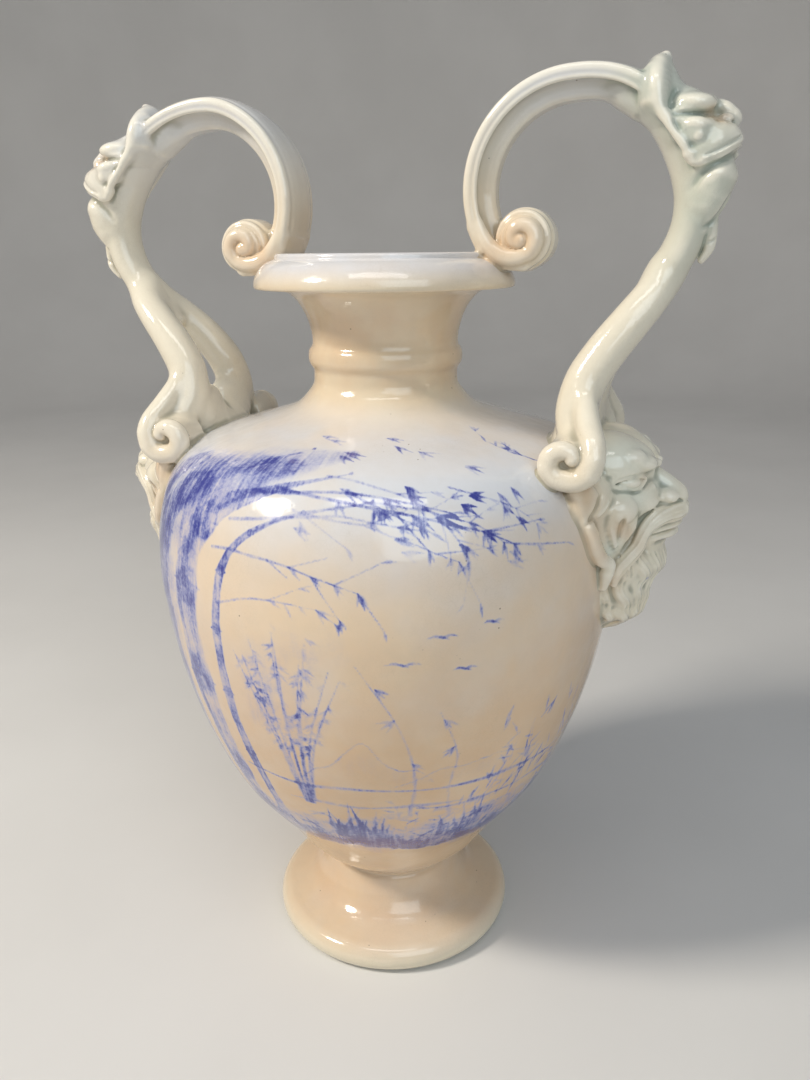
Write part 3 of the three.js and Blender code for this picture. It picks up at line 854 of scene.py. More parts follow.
# blobs of tint: (x, |y|, z, radius, strength)
# the glaze's tan; on the lower mask's ear, side lock, cheek drops and moustache end it is also painted warm
# sunlight
TAN_TINT_AND_SUNLIGHT = [
    (131, 54, 334, 9, 1), (137, 51, 315, 9, 0.8), (141, 48, 303, 8, 0.7), (148, 35, 314, 5, 0.6),
    (154, 29, 311, 5, 0.6), (150, 33, 318, 7, 0.35), (149, 34, 280, 7, 0.6), (152, 28, 292, 7, 0.4),
    (162, 22, 303, 8, 0.45), (86, 20, 470, 13, 0.9), (60, 10, 486, 26, 0.35), (158, 20, 341.5, 5, 0.55),
    (183, 11, 527, 6, 0.9), (121, 66, 352, 18, 0.25), (70, 16, 462, 9, 0.9), (131, 54, 345, 7, 0.5),
]
COBALT_STREAKS = [
    ((174.5, 13.5, 303), (173, 18, 298), (170.5, 21, 292)),
    ((172, 17, 302), (171, 20.5, 297), (168.5, 22.5, 291)),
    ((168.5, 17.5, 283), (166.5, 19.5, 277), (164.5, 21.5, 272)),
]
# the glaze's aqua tint; high on the handle, on the upper head, beard and limb, it turns to a darker aqua that
# is painted shade
AQUA_TINT_AND_SHADE = [
    (158, 18, 353, 12, 0.6), (145, 30, 352, 12, 0.7), (172, 6, 336, 9, 0.8), (180, 0, 324, 8, 0.6),
    (152, 30, 333, 9, 0.6), (147, 38, 300, 9, 0.9), (160, 22, 330, 8, 0.5), (168, 10, 545, 24, 0.9),
    (150, 16, 545, 20, 0.9), (175, 15, 524, 18, 0.9), (183, 12, 505, 18, 0.5),
    (181, 8, 486, 18, 0.9), (172, 8, 462, 20, 0.5), (160, 22, 312, 12, 0.5), (160, 10, 280, 22, 0.35),
]


def streaks(vertices, lines):
    """Thin brush strokes along lines of points."""
    clay = Clay(vertices, 0)
    strength = np.zeros(len(vertices))
    for line in lines:
        rows, far, _ = clay.along(catmull(line, 3), 3)
        strength[rows] = np.maximum(strength[rows], 0.6 * np.exp(-((far / 1.1) ** 2)))
    return strength


def thinned(vertices, quads, values, triangles):
    """The mesh with fewer triangles, kept where the form needs them, and values carried over."""
    rough = new_object("rough", vertices, quads, None)
    modifier = rough.modifiers.new("thin", "DECIMATE")
    modifier.ratio = min(1, triangles / (2 * len(quads)))
    modifier.use_collapse_triangulate = True
    made = rough.evaluated_get(bpy.context.evaluated_depsgraph_get()).to_mesh()
    kept = np.empty(3 * len(made.vertices), np.float32)
    made.vertices.foreach_get("co", kept)
    kept = kept.reshape(-1, 3) / MM
    faces = np.empty(3 * len(made.polygons), np.int32)
    made.polygons.foreach_get("vertices", faces)
    rough.to_mesh_clear()
    mesh = rough.data
    bpy.data.objects.remove(rough)
    bpy.data.meshes.remove(mesh)
    tree = KDTree(len(vertices))
    for n, point in enumerate(vertices):
        tree.insert(point, n)
    tree.balance()
    nearest = np.array([tree.find(point)[1] for point in kept])
    return kept, faces.reshape(-1, 3), values[nearest]


STEP, QUICK_STEP = 0.85, 1.5  # millimetres between the points of the sculpting grid
HANDLE_BOX = (50, -74, 230), (203, 74, 566)


def make_handles(material):
    """One handle is sculpted; the other is the same clay, turned round and sagged."""
    step = STEP
    vertices, faces = sculpt(handle_field, *HANDLE_BOX, step)
    bend = concavity(vertices, faces) / step
    if 2 * len(faces) > HANDLE_TRIANGLES:
        vertices, faces, bend = thinned(vertices, faces, bend, HANDLE_TRIANGLES)
    tints = {
        "hollow": bend,
        "tan": halo(vertices, TAN_TINT_AND_SUNLIGHT),
        "aqua": halo(vertices, AQUA_TINT_AND_SHADE),
        "cream": np.interp(vertices[:, 2], [490, 550], [0.85, 0.2]),
        "paint": streaks(vertices, COBALT_STREAKS),
    }
    for name, places, aqua in (("handle_right", vertices, 1), ("handle_left", sagged(vertices), LEFT_AQUA)):
        made = new_object(name, places, faces, material)
        paint_attributes(made, tints | {"aqua": tints["aqua"] * aqua})
        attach(made, "root")
        print(name, len(made.data.vertices), "vertices", len(made.data.polygons), "faces")


# ------------------------------------------------------------------ the turned body

SEGMENTS = 128
SHORTEST_EDGE = 1.0  # millimetres: the painting halves no shorter edge
BODY_TRIANGLES = 150000  # in each half, after which the painting gets no more
COARSE, FINE = 1.2, 0.08  # the painting's change along an edge that halves it, first and last
# from foot to rim, how strongly the glaze is warmed to tan, on the lower body partly a painted warm
# reflection, and how far it turns to cream
WARM_HEIGHTS = [0, 10, 26, 60, 90, 130, 200, 260, 320, 350, 372, 392, 420, 440, 460]
WARM = [0.0, 0.1, 0.75, 0.65, 0.75, 1.2, 1.0, 0.55, 0.15, 0.0, 0.25, 0.70, 0.85, 0.6, 0.1]
CREAM_HEIGHTS, CREAM_AMOUNT = [8, 24, 366, 384, 446, 456], [1, 0, 0, 1, 1, 0]


def wrapped(angle):
    """The same angle from -180 to 180 degrees."""
    return (angle + 180) % 360 - 180


def in_front(turn):
    return np.cos(np.radians(turn)) > 0


class Profile:
    """The whole turned line, up the outside, over the rim and down the inside, with t along it."""

    def __init__(self):
        foot, body, neck, lip, rim = outer_profile()
        parts = [resample(foot, 1.9), body, resample(neck, 1.6), resample(lip, 1.3), rim,
                 inner_profile()[::-1]]
        line = np.vstack([parts[0]] + [part[1:] for part in parts[1:]])
        under = resample([(36.0, 40.0), (42, 31), (50, 19), (60.5, 7.0), (63.2, 1.2), (65.5, 0.0)], 3.5)
        self.line = np.vstack([[(0.0, 41.0)], under, line[1:]])
        self.t = np.r_[0, np.cumsum(lengths(np.diff(self.line, axis=0)))]
        ahead = np.gradient(self.line, axis=0)
        self.normal = unit(np.stack([ahead[:, 1], -ahead[:, 0]], 1))
        start = len(under) + len(parts[0]) - 1
        end = start + len(body)
        self.body_z = body[:, 1]
        self.body_t = self.t[start:end]
        self.body = (self.body_t[0], self.body_t[-1])
        # the body's own points lie close, so that every other one makes a row
        self.rows = self.t[[*range(start), *range(start, end, 2), *range(end, len(self.line))]]

    def r(self, t):
        return np.interp(t, self.t, self.line[:, 0])

    def place(self, t, turn):
        """Points, and their normals, for places along the line and degrees round from the front."""
        a = np.radians(turn)
        r, z = self.r(t), np.interp(t, self.t, self.line[:, 1])
        nr, nz = (np.interp(t, self.t, self.normal[:, k]) for k in (0, 1))
        points = np.stack([r * np.sin(a), -r * np.cos(a), z], 1)
        return points, np.stack([nr * np.sin(a), -nr * np.cos(a), nz], 1) / np.hypot(nr, nz)[:, None]

    def coarse_mesh(self):
        """Two triangles to each square of the turned line, with t and turn of each vertex."""
        count = len(self.rows)
        quads = ring_quads(count, SEGMENTS)
        tri = np.vstack([quads[:, [0, 2, 3]], quads[:, [2, 0, 1]]])
        return tri, np.repeat(self.rows, SEGMENTS), np.tile(np.arange(SEGMENTS) * 360 / SEGMENTS, count)


def split(tri, t, turn, want):
    """One round of newest-vertex bisection. Each row of tri starts with its edge to be halved."""
    pairs = np.vstack([tri[:, [0, 1]], tri[:, [1, 2]], tri[:, [2, 0]]]).astype(np.int64)
    pairs.sort(axis=1)
    edges, index = np.unique(pairs[:, 0] * len(t) + pairs[:, 1], return_inverse=True)
    e0, e1, e2 = index.reshape(3, -1)
    marked = np.zeros(len(edges), bool)
    need = want
    while need.any():
        marked[e0[need]] = True
        need = (marked[e1] | marked[e2]) & ~marked[e0]
    chosen = np.flatnonzero(marked)
    a, b = edges[chosen] // len(t), edges[chosen] % len(t)
    number = np.full(len(edges), -1)
    number[chosen] = len(t) + np.arange(len(chosen))
    t = np.r_[t, (t[a] + t[b]) / 2]
    turn = np.r_[turn, turn[a] + wrapped(turn[b] - turn[a]) / 2]
    out = [tri[~marked[e0]]]
    rows = marked[e0]
    for first, second, edge in ((2, 0, e2), (1, 2, e1)):
        p, q, m, side = tri[rows, first], tri[rows, second], number[e0[rows]], number[edge[rows]]
        whole = side < 0
        out.append(np.stack([p, q, m], 1)[whole])
        p, q, m, side = p[~whole], q[~whole], m[~whole], side[~whole]
        out += [np.stack([m, p, side], 1), np.stack([q, m, side], 1)]
    return np.vstack(out), t, turn


class Picture:
    """The strength of the cobalt on the body, kept by place along the line and turn round it.

    It is brushed on by the strokes below; nothing else goes into it."""

    CELL = 0.45  # millimetres along the line
    COLUMNS = 2160
    DENSEST = 0.97

    def __init__(self, profile):
        self.low, self.high = profile.body
        self.rows = int((self.high - self.low) / self.CELL) + 2
        self.d = np.zeros((self.rows, self.COLUMNS), np.float32)
        self.profile = profile
        self.r = profile.r(self.low + np.arange(self.rows) * self.CELL)

    def t_at(self, z):
        """The place along the line at a height on the body."""
        return np.interp(z, self.profile.body_z, self.profile.body_t)

    def window(self, places, margin):
        """Rows, columns, and for each cell its millimetres along and across from places[0]."""
        t = (places[:, 1] - self.low) / self.CELL
        round_margin = margin / np.maximum(self.profile.r(places[:, 1]), 40).min() * 180 / np.pi
        i0 = max(0, int(t.min() - margin / self.CELL))
        i1 = min(self.rows, int(t.max() + margin / self.CELL) + 2)
        per = 360 / self.COLUMNS
        j0 = int(math.floor((places[:, 0].min() - round_margin) / per))
        j1 = int(math.ceil((places[:, 0].max() + round_margin) / per)) + 1
        i, j = np.arange(i0, i1), np.arange(j0, j1)
        scale = (self.r[i] * np.pi / 180)[:, None]
        x = (j * per - places[0, 0])[None] * scale
        y = ((i - t[0]) * self.CELL)[:, None] + 0 * x
        return i, j % self.COLUMNS, x, y, scale

    def stroke(self, places, widths, strength, soft=0.7, steps=4):
        """A brush stroke through places, each (turn, t), of changing width, with a soft edge."""
        places = catmull(np.asarray(places, float), steps)
        widths = spread(widths, len(places))
        i, j, x, y, scale = self.window(places, widths.max() * 0.5 + 1.6)
        if not len(i):
            return
        best = np.full(x.shape, 1e9, np.float32)
        near_width = np.zeros(x.shape, np.float32)
        for n in range(len(places) - 1):
            ax, bx = ((turn - places[0, 0]) * scale for turn in places[n:n + 2, 0])
            ay, by = places[n:n + 2, 1] - places[0, 1]
            dx, dy = bx - ax, by - ay
            s = np.clip(((x - ax) * dx + (y - ay) * dy) / np.maximum(dx * dx + dy * dy, 1e-9), 0, 1)
            far = np.hypot(x - ax - s * dx, y - ay - s * dy)
            nearer = far < best
            best = np.where(nearer, far, best)
            near_width = np.where(nearer, widths[n] + s * (widths[n + 1] - widths[n]), near_width)
        half = np.maximum(near_width * 0.5, 0.12)
        inwards = half - best
        cover = step01(inwards / np.maximum(soft * half, 0.55), -0.5, 0.5) * np.minimum(1, half / 0.35)
        # a full brush leaves a darker edge
        ink = strength * cover * (1 + 0.3 * np.clip(1 - inwards / 1.6, 0, 1) * (half > 2))
        here = np.ix_(i, j)
        self.d[here] = 1 - (1 - self.d[here]) * (1 - np.clip(ink, 0, self.DENSEST))

    def make_uneven(self):
        """Washes pool and thin out."""
        i, j = np.indices(self.d.shape)
        x, y = j * self.CELL * 2.2, i * self.CELL
        uneven = 0.6 * value_noise(x / 9, y / 14, 3) + 0.4 * value_noise(x / 2.6, y / 4.5, 5)
        self.d *= np.clip(1 + 0.28 * uneven, 0, 1.25).astype(np.float32)
        np.clip(self.d, 0, 1, out=self.d)

    def sample(self, t, turn):
        """The paint at any places, and none off the body."""
        row = np.clip((t - self.low) / self.CELL, 0, self.rows - 1.001)
        column = (turn % 360) / 360 * self.COLUMNS
        return between(self.d, row, column) * ((t > self.low) & (t < self.high))

    def change_by_size(self):
        """How quickly the painting changes near each cell, in grids of ever larger cells."""
        steep = np.hypot(*np.gradient(self.d, self.CELL))
        grids = []
        for _ in range(6):
            grown = steep.copy()
            for axis in (0, 1):
                for shift in (-1, 1):
                    grown = np.maximum(grown, np.roll(grown, shift, axis))
            grids.append(grown)
            h, w = steep.shape[0] // 2, steep.shape[1] // 2
            steep = steep[:2 * h, :2 * w].reshape(h, 2, w, 2).max((1, 3))
        return grids


def value_noise(x, y, seed):
    """Smooth noise from -1 to 1, one unit to a cell."""
    return between(np.random.default_rng(seed).uniform(-1, 1, (64, 64)).T, y, x, soft=True)


RNG = np.random.default_rng(23)  # the painter's hand
# Places in the painting are degrees round from the front and heights in millimetres.
# stems: the places they go through, their widths from foot to tip, strength and number of joints
FRONT_CULMS = [
    ([(-60, 112), (-62, 170), (-63, 240), (-60, 300), (-52, 340), (-42, 354)],
     [17, 20, 22, 18, 12], 0.34, 6),
    ([(-40, 112), (-44, 170), (-48, 235), (-48, 295), (-41, 334), (-25, 352), (-6, 363)],
     [20, 25, 30, 30, 22, 8, 1], 0.50, 7),
    ([(-26, 112), (-29, 165), (-32, 230), (-32, 290), (-26, 328), (-10, 347), (10, 356)],
     [15, 19, 24, 24, 19, 6, 1], 0.42, 6),
    ([(-16, 114), (-18, 160), (-21, 215), (-21, 270), (-17, 314), (-4, 336), (16, 345)],
     [6, 7, 7.5, 6, 3, 1], 0.58, 8),
]
BACK_CULMS = [
    ([(140, 114), (136, 170), (133, 235), (134, 295), (140, 335), (152, 352)],
     [12, 14, 15, 12, 6], 0.45, 6),
    ([(150, 116), (149, 170), (150, 230), (156, 290), (166, 328)], [6, 6, 5, 3], 0.6, 6),
]
# side branches: place, heading in radians (0 to the right), length and width
FRONT_TWIGS = [
    (-20, 344, 0.22, 120, 2.8), (-8, 349, 0.05, 130, 2.4), (-18, 332, 0.15, 110, 2.2),
    (4, 355, -0.10, 90, 2.0), (-22, 316, 0.35, 90, 2.0), (-2, 340, 0.05, 90, 1.7),
    (14, 345, -0.12, 76, 1.6), (-20, 286, 0.50, 64, 1.6), (34, 350, -0.30, 52, 1.4),
]
BACK_TWIGS = [
    (140, 340, 0.2, 110, 2.0), (150, 325, 0.2, 90, 1.5), (166, 328, 0.0, 84, 1.4),
    (136, 300, 2.6, 60, 1.4), (238, 350, 2.9, 90, 1.6),
]
# place, number of leaves and strength
LEAF_CLUSTERS = [
    (8, 350, 4, 0.8), (16, 343, 5, 0.85), (24, 347, 6, 0.95), (29, 338, 6, 0.95),
    (35, 344, 5, 0.9), (41, 334, 4, 0.8), (33, 324, 4, 0.75), (47, 346, 3, 0.7),
    (22, 329, 3, 0.5), (0, 333, 3, 0.5), (45, 317, 3, 0.5), (6, 362, 4, 0.7),
    (18, 366, 4, 0.8), (30, 362, 4, 0.65), (42, 358, 3, 0.6), (-6, 366, 3, 0.55),
]
SAPLING_LEAVES = [(20, 228, -2.4), (16, 248, -0.8), (34, 206, -2.2), (31, 226, -0.9), (24, 196, -0.6)]
GROUND = 112.5  # the feet of the lowest grass


class Painter:
    """A generic bamboo grove by the water in cobalt wash, grown from a seed."""

    BODY_R = 130  # millimetres, about the body's radius

    def __init__(self, picture):
        self.picture = picture
        self.stroke = picture.stroke

    def t(self, z):
        return float(self.picture.t_at(z))

    def line(self, places, widths, strength, **how):
        """A stroke through places that are each (turn, height)."""
        self.stroke([(turn, self.t(z)) for turn, z in places], widths, strength, **how)

    def stem(self, turn, z, lean, up, bow, widths, strength):
        """A stem that rises by up and leans by lean degrees, a share of it, bow, by half-way."""
        self.line([(turn, z), (turn + lean * bow, z + up * 0.5), (turn + lean, z + up)], widths, strength)

    def step_on(self, turn, t, heading, length):
        """The place length millimetres on; heading is in radians, 0 round to the right, up above 0."""
        r = float(self.picture.profile.r(t))
        return (turn + math.degrees(length * math.cos(heading) / max(r, 45)),
                t + length * math.sin(heading))

    def leaf(self, turn, t, heading, length, width, strength):
        """A lance-shaped leaf, laid on in one press of the brush."""
        middle = self.step_on(turn, t, heading, length * 0.4)
        ahead = self.step_on(turn, t, heading - RNG.uniform(0, 0.15), length)
        self.stroke([(turn, t), middle, ahead], [width * 0.3, width, width * 0.2], strength,
                    soft=0.8, steps=2)

    def fan(self, turn, t, heading, size, count, strength):
        """A few leaves from one joint of a twig."""
        for n in range(count):
            swing = (n - (count - 1) / 2) * RNG.uniform(0.32, 0.5)
            self.leaf(turn, t, heading + swing, size * RNG.uniform(0.7, 1.15),
                      size * RNG.uniform(0.17, 0.25), strength * RNG.uniform(0.6, 1.0))

    def twig(self, turn, z, heading, length, width, strength, droop=0.5, leaves=1.0):
        """A long thin side branch, with shorter ones and leaves on it."""
        t = self.t(z)
        places, pieces, size = [(turn, t)], 7, 9.0
        for n in range(pieces):
            heading += RNG.normal(0, 0.10) - droop / pieces
            turn, t = self.step_on(turn, t, heading, length / pieces)
            places.append((turn, t))
            if n > 1 and RNG.random() < 0.55:
                off = heading + RNG.choice([-1, 1]) * RNG.uniform(0.3, 0.8)
                end = self.step_on(turn, t, off, length * RNG.uniform(0.15, 0.32))
                self.stroke([(turn, t), end], [width * 0.6, width * 0.3], strength * 0.9, steps=1)
                if RNG.random() < leaves:
                    self.fan(*end, off - 0.3, size * 0.9, RNG.integers(1, 4), strength)
            if n > 2 and RNG.random() < leaves:
                self.fan(turn, t, heading - RNG.uniform(0.2, 1.0), size, RNG.integers(1, 4), strength * 1.1)
        self.stroke(places, [width, width * 0.7, width * 0.35], strength, steps=2)

    def culm(self, spine, girth, strength, joints):
        """A jointed stem in broad watery strokes: one stroke from each joint to the next."""
        line = catmull([(turn, self.t(z)) for turn, z in spine], 12)
        widths = spread(girth, len(line))
        stops = np.linspace(0, len(line) - 1, joints + 1).astype(int)
        for first, last in zip(stops[:-1], stops[1:]):
            piece, size = line[first:last + 1:3], widths[first:last + 1:3]
            shape = 1 + 0.10 * np.cos(np.linspace(0, 2 * np.pi, len(piece)))
            self.stroke(piece, size * shape, strength, soft=0.2, steps=2)
            for _ in range(1 + int(size.mean() / 7)):
                lane = piece.copy()
                lane[:, 0] += np.degrees(RNG.uniform(-0.36, 0.36) * size * shape / self.BODY_R)
                self.stroke(lane, size * RNG.uniform(0.15, 0.3), strength * RNG.uniform(0.35, 0.8),
                            soft=1.2, steps=2)
            # the ring at the joint
            turn, t = line[last]
            wide = math.degrees(widths[last] * 0.56 / self.BODY_R)
            self.stroke([(turn - wide, t - 0.6), (turn, t + 0.9), (turn + wide, t - 0.6)],
                        [1.2, 2.1, 1.2], min(0.9, strength * 1.5), soft=0.5, steps=3)

    def ridge(self, low, high, z, tall, strength):
        """A far hill: a thin outline over a pale wash."""
        count = 9
        shape = np.sin(np.linspace(0, np.pi, count)) ** 0.8 * (1 + 0.25 * RNG.normal(size=count))
        places = [(low + (high - low) * n / (count - 1), z + tall * max(0.0, shape[n])) for n in range(count)]
        self.line(places, [0.5, 1.3, 0.8, 1.1, 0.4], strength, soft=0.7)
        under = [(turn, z + (up - z) * 0.55) for turn, up in places]
        self.line(under, [1, tall * 0.5, tall * 0.6, tall * 0.4, 1], strength * 0.22, soft=1.0)

    def water(self, low, high, z, strength):
        """A broad level ripple."""
        count = max(4, int((high - low) / 9))
        places = [(low + (high - low) * n / count, z + RNG.normal(0, 1.0)) for n in range(count + 1)]
        self.line(places, [0.8, 3.0, 1.4, 3.4, 0.8], strength, soft=1.0, steps=3)

    def bird(self, turn, z, span, strength):
        """Two curved wings and a short body."""
        t = self.t(z)
        for side in (-1, 1):
            lift = RNG.uniform(0.5, 0.8)
            middle = (turn + side * span * 0.13, t + span * 0.16 * lift)
            tip = (turn + side * span * 0.27, t + span * 0.02)
            self.stroke([(turn, t), middle, tip], [1.5, 1.7, 0.4], strength, soft=0.5)
        self.stroke([(turn - 0.5, t + 0.8), (turn + 1.4, t - 1.2)], [1.7, 0.6], strength, soft=0.5)

    def grass(self, low, high, strength):
        """The ragged dark band at the foot of the picture."""
        count = int((high - low) / 8)
        self.line([(low + (high - low) * n / count, 124) for n in range(count + 1)],
                  RNG.uniform(26, 56, count + 1), strength * 0.52, soft=1.5)
        for turn in np.arange(low, high, 0.75):
            base = GROUND + 2.5 * math.sin(turn * 0.11 + 1.0) + RNG.normal(0, 1.4)
            tall = RNG.uniform(14, 36) * (1 + 0.4 * math.sin(turn * 0.19))
            self.line([(turn, base), (turn + RNG.normal(0, 1.5), base + tall * 0.5),
                       (turn + RNG.normal(0, 3), base + tall)],
                      [RNG.uniform(3, 6), RNG.uniform(2, 3.4), 0.5],
                      strength * RNG.uniform(0.3, 0.8), soft=1.2)
        for _ in range(int((high - low) / 1.1)):
            turn = RNG.uniform(low, high)
            z = 118 + 38 * RNG.random() ** 1.5
            self.line([(turn, z), (turn + RNG.uniform(2, 5), z + RNG.normal(0, 1.5)),
                       (turn + RNG.uniform(5, 9), z + RNG.normal(0, 2))],
                      [0.8, RNG.uniform(2.0, 6.0), 0.7], strength * RNG.uniform(0.12, 0.36), soft=1.3)

    def clump(self, turn, z, tall, spread, count, strength):
        """Thin stems fanning up from one place, pale with small leaves along their upper half."""
        for _ in range(11):
            middle = turn + spread * RNG.uniform(-0.75, 0.75)
            high = z + tall * RNG.uniform(0.48, 0.92)
            self.line([(middle - 3, high), (middle, high + 5), (middle + 3, high)], [10, 20, 10],
                      strength * RNG.uniform(0.16, 0.34), soft=2.0)
        for lean in np.linspace(-spread, spread, count) + RNG.normal(0, 1, count):
            up = tall * (1 - 0.22 * (lean / spread) ** 2) * RNG.uniform(0.85, 1.05)
            self.line([(turn + lean * 0.1, z), (turn + lean * 0.4, z + up * 0.5), (turn + lean, z + up)],
                      [2.2, 1.5, 0.6], strength, soft=1.0)
            for s in RNG.uniform(0.42, 1.03, 13):
                heading = RNG.choice([-0.7, -2.3]) + RNG.normal(0, 0.3)
                self.fan(turn + lean * s ** 1.4, self.t(z + up * s), heading, 8, 2,
                         strength * RNG.uniform(0.4, 1.1))

    def reeds(self, low, high, z, tall, count, strength):
        """Loose upright dabs of a full brush."""
        for _ in range(count):
            turn, up = RNG.uniform(low, high), z + tall * RNG.random()
            size, lean = RNG.uniform(7, 15), RNG.normal(1.5, 2.0)
            self.stem(turn, up, lean, size, 0.4, [0.8, RNG.uniform(1.6, 2.8), 0.5],
                      strength * RNG.uniform(0.4, 1.0))

    def shoots(self, low, high, count, strength, tall=38):
        """Young stems, each with a few narrow leaves."""
        for _ in range(count):
            turn, z = RNG.uniform(low, high), RNG.uniform(120, 150)
            lean, up = RNG.uniform(-3, 4), tall * RNG.uniform(0.5, 1.2)
            self.stem(turn, z, lean, up, 0.3, [0.9, 0.9, 0.5], strength * RNG.uniform(0.4, 0.8))
            for _ in range(RNG.integers(2, 5)):
                t = self.t(z + up * RNG.uniform(0.35, 1.0))
                self.leaf(turn + lean * 0.6, t, RNG.choice([0.5, 2.6]) + RNG.normal(0, 0.4),
                          RNG.uniform(6, 12), RNG.uniform(1.5, 2.6), strength * RNG.uniform(0.5, 1))

    def paint(self):
        """The grove first, which makes the broad blue area on the left and over the shoulder."""
        self.line([(-50, 150), (-52, 210), (-52, 280), (-44, 330), (-26, 350), (-8, 357)],
                  [26, 52, 74, 70, 40, 14], 0.46, soft=0.8)
        self.line([(-38, 340), (-14, 357), (8, 362)], [20, 32, 8], 0.44, soft=1.4)
        for spine, girth, strength, joints in FRONT_CULMS:
            self.culm(spine, girth, strength, joints)
        for turn, z, heading, length, width in FRONT_TWIGS:
            self.twig(turn, z, heading, length, width, RNG.uniform(0.45, 0.7), 0.55, 0.7)
        for turn, z, count, strength in LEAF_CLUSTERS:
            for _ in range(2):
                self.fan(turn + RNG.normal(0, 2.0), self.t(z) + RNG.normal(0, 3),
                         RNG.uniform(-1.3, -0.1), 11.5, (count + 1) // 2, strength)
        self.waterside()
        self.back()

    def waterside(self):
        """Far hills and water, birds, a clump with two saplings, and reeds and grass in front."""
        self.ridge(-4, 30, 180, 24, 0.42)
        self.ridge(20, 66, 178, 16, 0.36)
        self.water(-24, 74, 174, 0.6)
        self.water(-10, 40, 160, 0.46)
        self.water(26, 84, 158, 0.52)
        for turn, z, span in ((22, 262, 15), (30, 277, 12), (35, 257, 10), (41, 282, 9)):
            self.bird(turn, z, span, 0.6)
        self.clump(-4, 158, 122, 14, 9, 0.46)
        self.line([(24, 152), (25, 184), (21, 222), (12, 262)], [2.6, 1.8, 1.3, 0.6], 0.45, soft=1.0)
        self.line([(36, 146), (34, 172), (35, 200), (30, 232)], [2.2, 1.5, 1.1, 0.6], 0.4, soft=1.0)
        for turn, z, heading in SAPLING_LEAVES:
            self.fan(turn, self.t(z), heading, 10, 3, 0.5)
        self.reeds(46, 84, 152, 62, 34, 0.7)
        self.reeds(36, 60, 146, 26, 16, 0.7)
        self.shoots(48, 82, 12, 0.6, 62)
        self.shoots(20, 44, 6, 0.5, 30)
        self.grass(-66, 86, 0.95)
        self.twig(72, 348, 2.7, 52, 1.4, 0.6)

    def back(self):
        """The same on the back, quieter."""
        self.grass(96, 262, 0.75)
        for spine, girth, strength, joints in BACK_CULMS:
            self.culm(spine, girth, strength, joints)
        for turn, z, heading, length, width in BACK_TWIGS:
            self.twig(turn, z, heading, length, width, 0.6)
        self.ridge(170, 214, 160, 24, 0.4)
        self.ridge(196, 246, 158, 16, 0.34)
        self.water(158, 250, 154, 0.4)
        self.water(176, 226, 143, 0.3)
        self.shoots(226, 250, 12, 0.6)
        self.clump(184, 148, 96, 10, 7, 0.35)
        for turn, z, span in ((196, 268, 14), (206, 284, 10), (212, 262, 9)):
            self.bird(turn, z, span, 0.65)


def refine(profile, picture, tri, t, turn):
    """Splits triangles where the painting changes quickly, the worst first, within a budget."""
    grids = picture.change_by_size()
    allowed = COARSE
    while allowed > FINE:
        points, _ = profile.place(t, turn)
        size = lengths(points[tri[:, 0]] - points[tri[:, 1]])
        mid_t, mid_turn = t[tri].mean(1), middle_turn(tri, turn)
        which = np.round(np.log2(np.maximum(size, 0.1) / picture.CELL))
        which = np.clip(which, 0, len(grids) - 1).astype(int)
        change = np.zeros(len(tri))
        for n, grid in enumerate(grids):
            there = which == n
            i = ((mid_t[there] - picture.low) / picture.CELL / 2**n).astype(int)
            j = ((mid_turn[there] % 360) / 360 * grid.shape[1]).astype(int)
            change[there] = grid[np.clip(i, 0, grid.shape[0] - 1), np.clip(j, 0, grid.shape[1] - 1)]
        front = in_front(mid_turn)
        full = [(front == side).sum() > BODY_TRIANGLES for side in (False, True)]
        if all(full):
            break
        inside = (t[tri].min(1) >= profile.body[0]) & (t[tri].max(1) <= profile.body[1])
        want = inside & (size > SHORTEST_EDGE) & (change * size > allowed)
        want &= ~np.choose(front.astype(int), full)
        if want.any():
            tri, t, turn = split(tri, t, turn, want)
        else:
            allowed *= 0.85
    print("painting followed to", round(allowed, 2))
    return tri, t, turn


def middle_turn(tri, turn):
    return turn[tri[:, 0]] + wrapped(turn[tri] - turn[tri[:, :1]]).mean(1)


def cut_edge(t, turn):
    """Numbers of the vertices all round the flat face where two halves meet."""
    up, down = (np.flatnonzero(np.abs(turn % 360 - side) < 1e-6) for side in (90, 270))
    up, down = (rows[np.argsort(t[rows], kind="stable")] for rows in (up, down))
    return np.r_[up, down[::-1]]


def make_body(material):
    """Two closed halves, each with a flat face where they meet, and the painting in "paint"."""
    profile = Profile()
    picture = Picture(profile)
    Painter(picture).paint()
    picture.make_uneven()
    tri, t, turn = refine(profile, picture, *profile.coarse_mesh())
    points, normals = profile.place(t, turn)
    # a hand-thrown unevenness, too slight to see but for its reflections
    wave = 0.10 * np.sin(t * 0.21 + 0.4) + 0.08 * np.sin(t * 0.093)
    wave += 0.10 * np.sin(np.radians(turn) * 2 + t * 0.01)
    points[:, :2] *= (1 + np.where(t > profile.body[0], wave, 0) / np.maximum(profile.r(t), 20))[:, None]
    tints = {
        "paint": picture.sample(t, turn),
        "tan": np.interp(points[:, 2], WARM_HEIGHTS, WARM),
        "cream": np.interp(points[:, 2], CREAM_HEIGHTS, CREAM_AMOUNT),
        "hollow": 0 * t,
        "aqua": 0 * t,
    }
    front = in_front(middle_turn(tri, turn))
    for name, half, way in (("vase_front", front, -1), ("vase_back", ~front, 1)):
        used, faces = np.unique(tri[half], return_inverse=True)
        faces = faces.reshape(-1, 3)
        made = new_object(name, points[used], faces, material, cut_edge(t[used], turn[used])[::way])
        paint_attributes(made, {label: values[used] for label, values in tints.items()})
        made.data.normals_split_custom_set_from_vertices([tuple(n) for n in normals[used]])
        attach(made, "root")
        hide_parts("vase")
        print(name, len(used), "vertices", len(faces), "triangles")


# ------------------------------------------------------------------ material

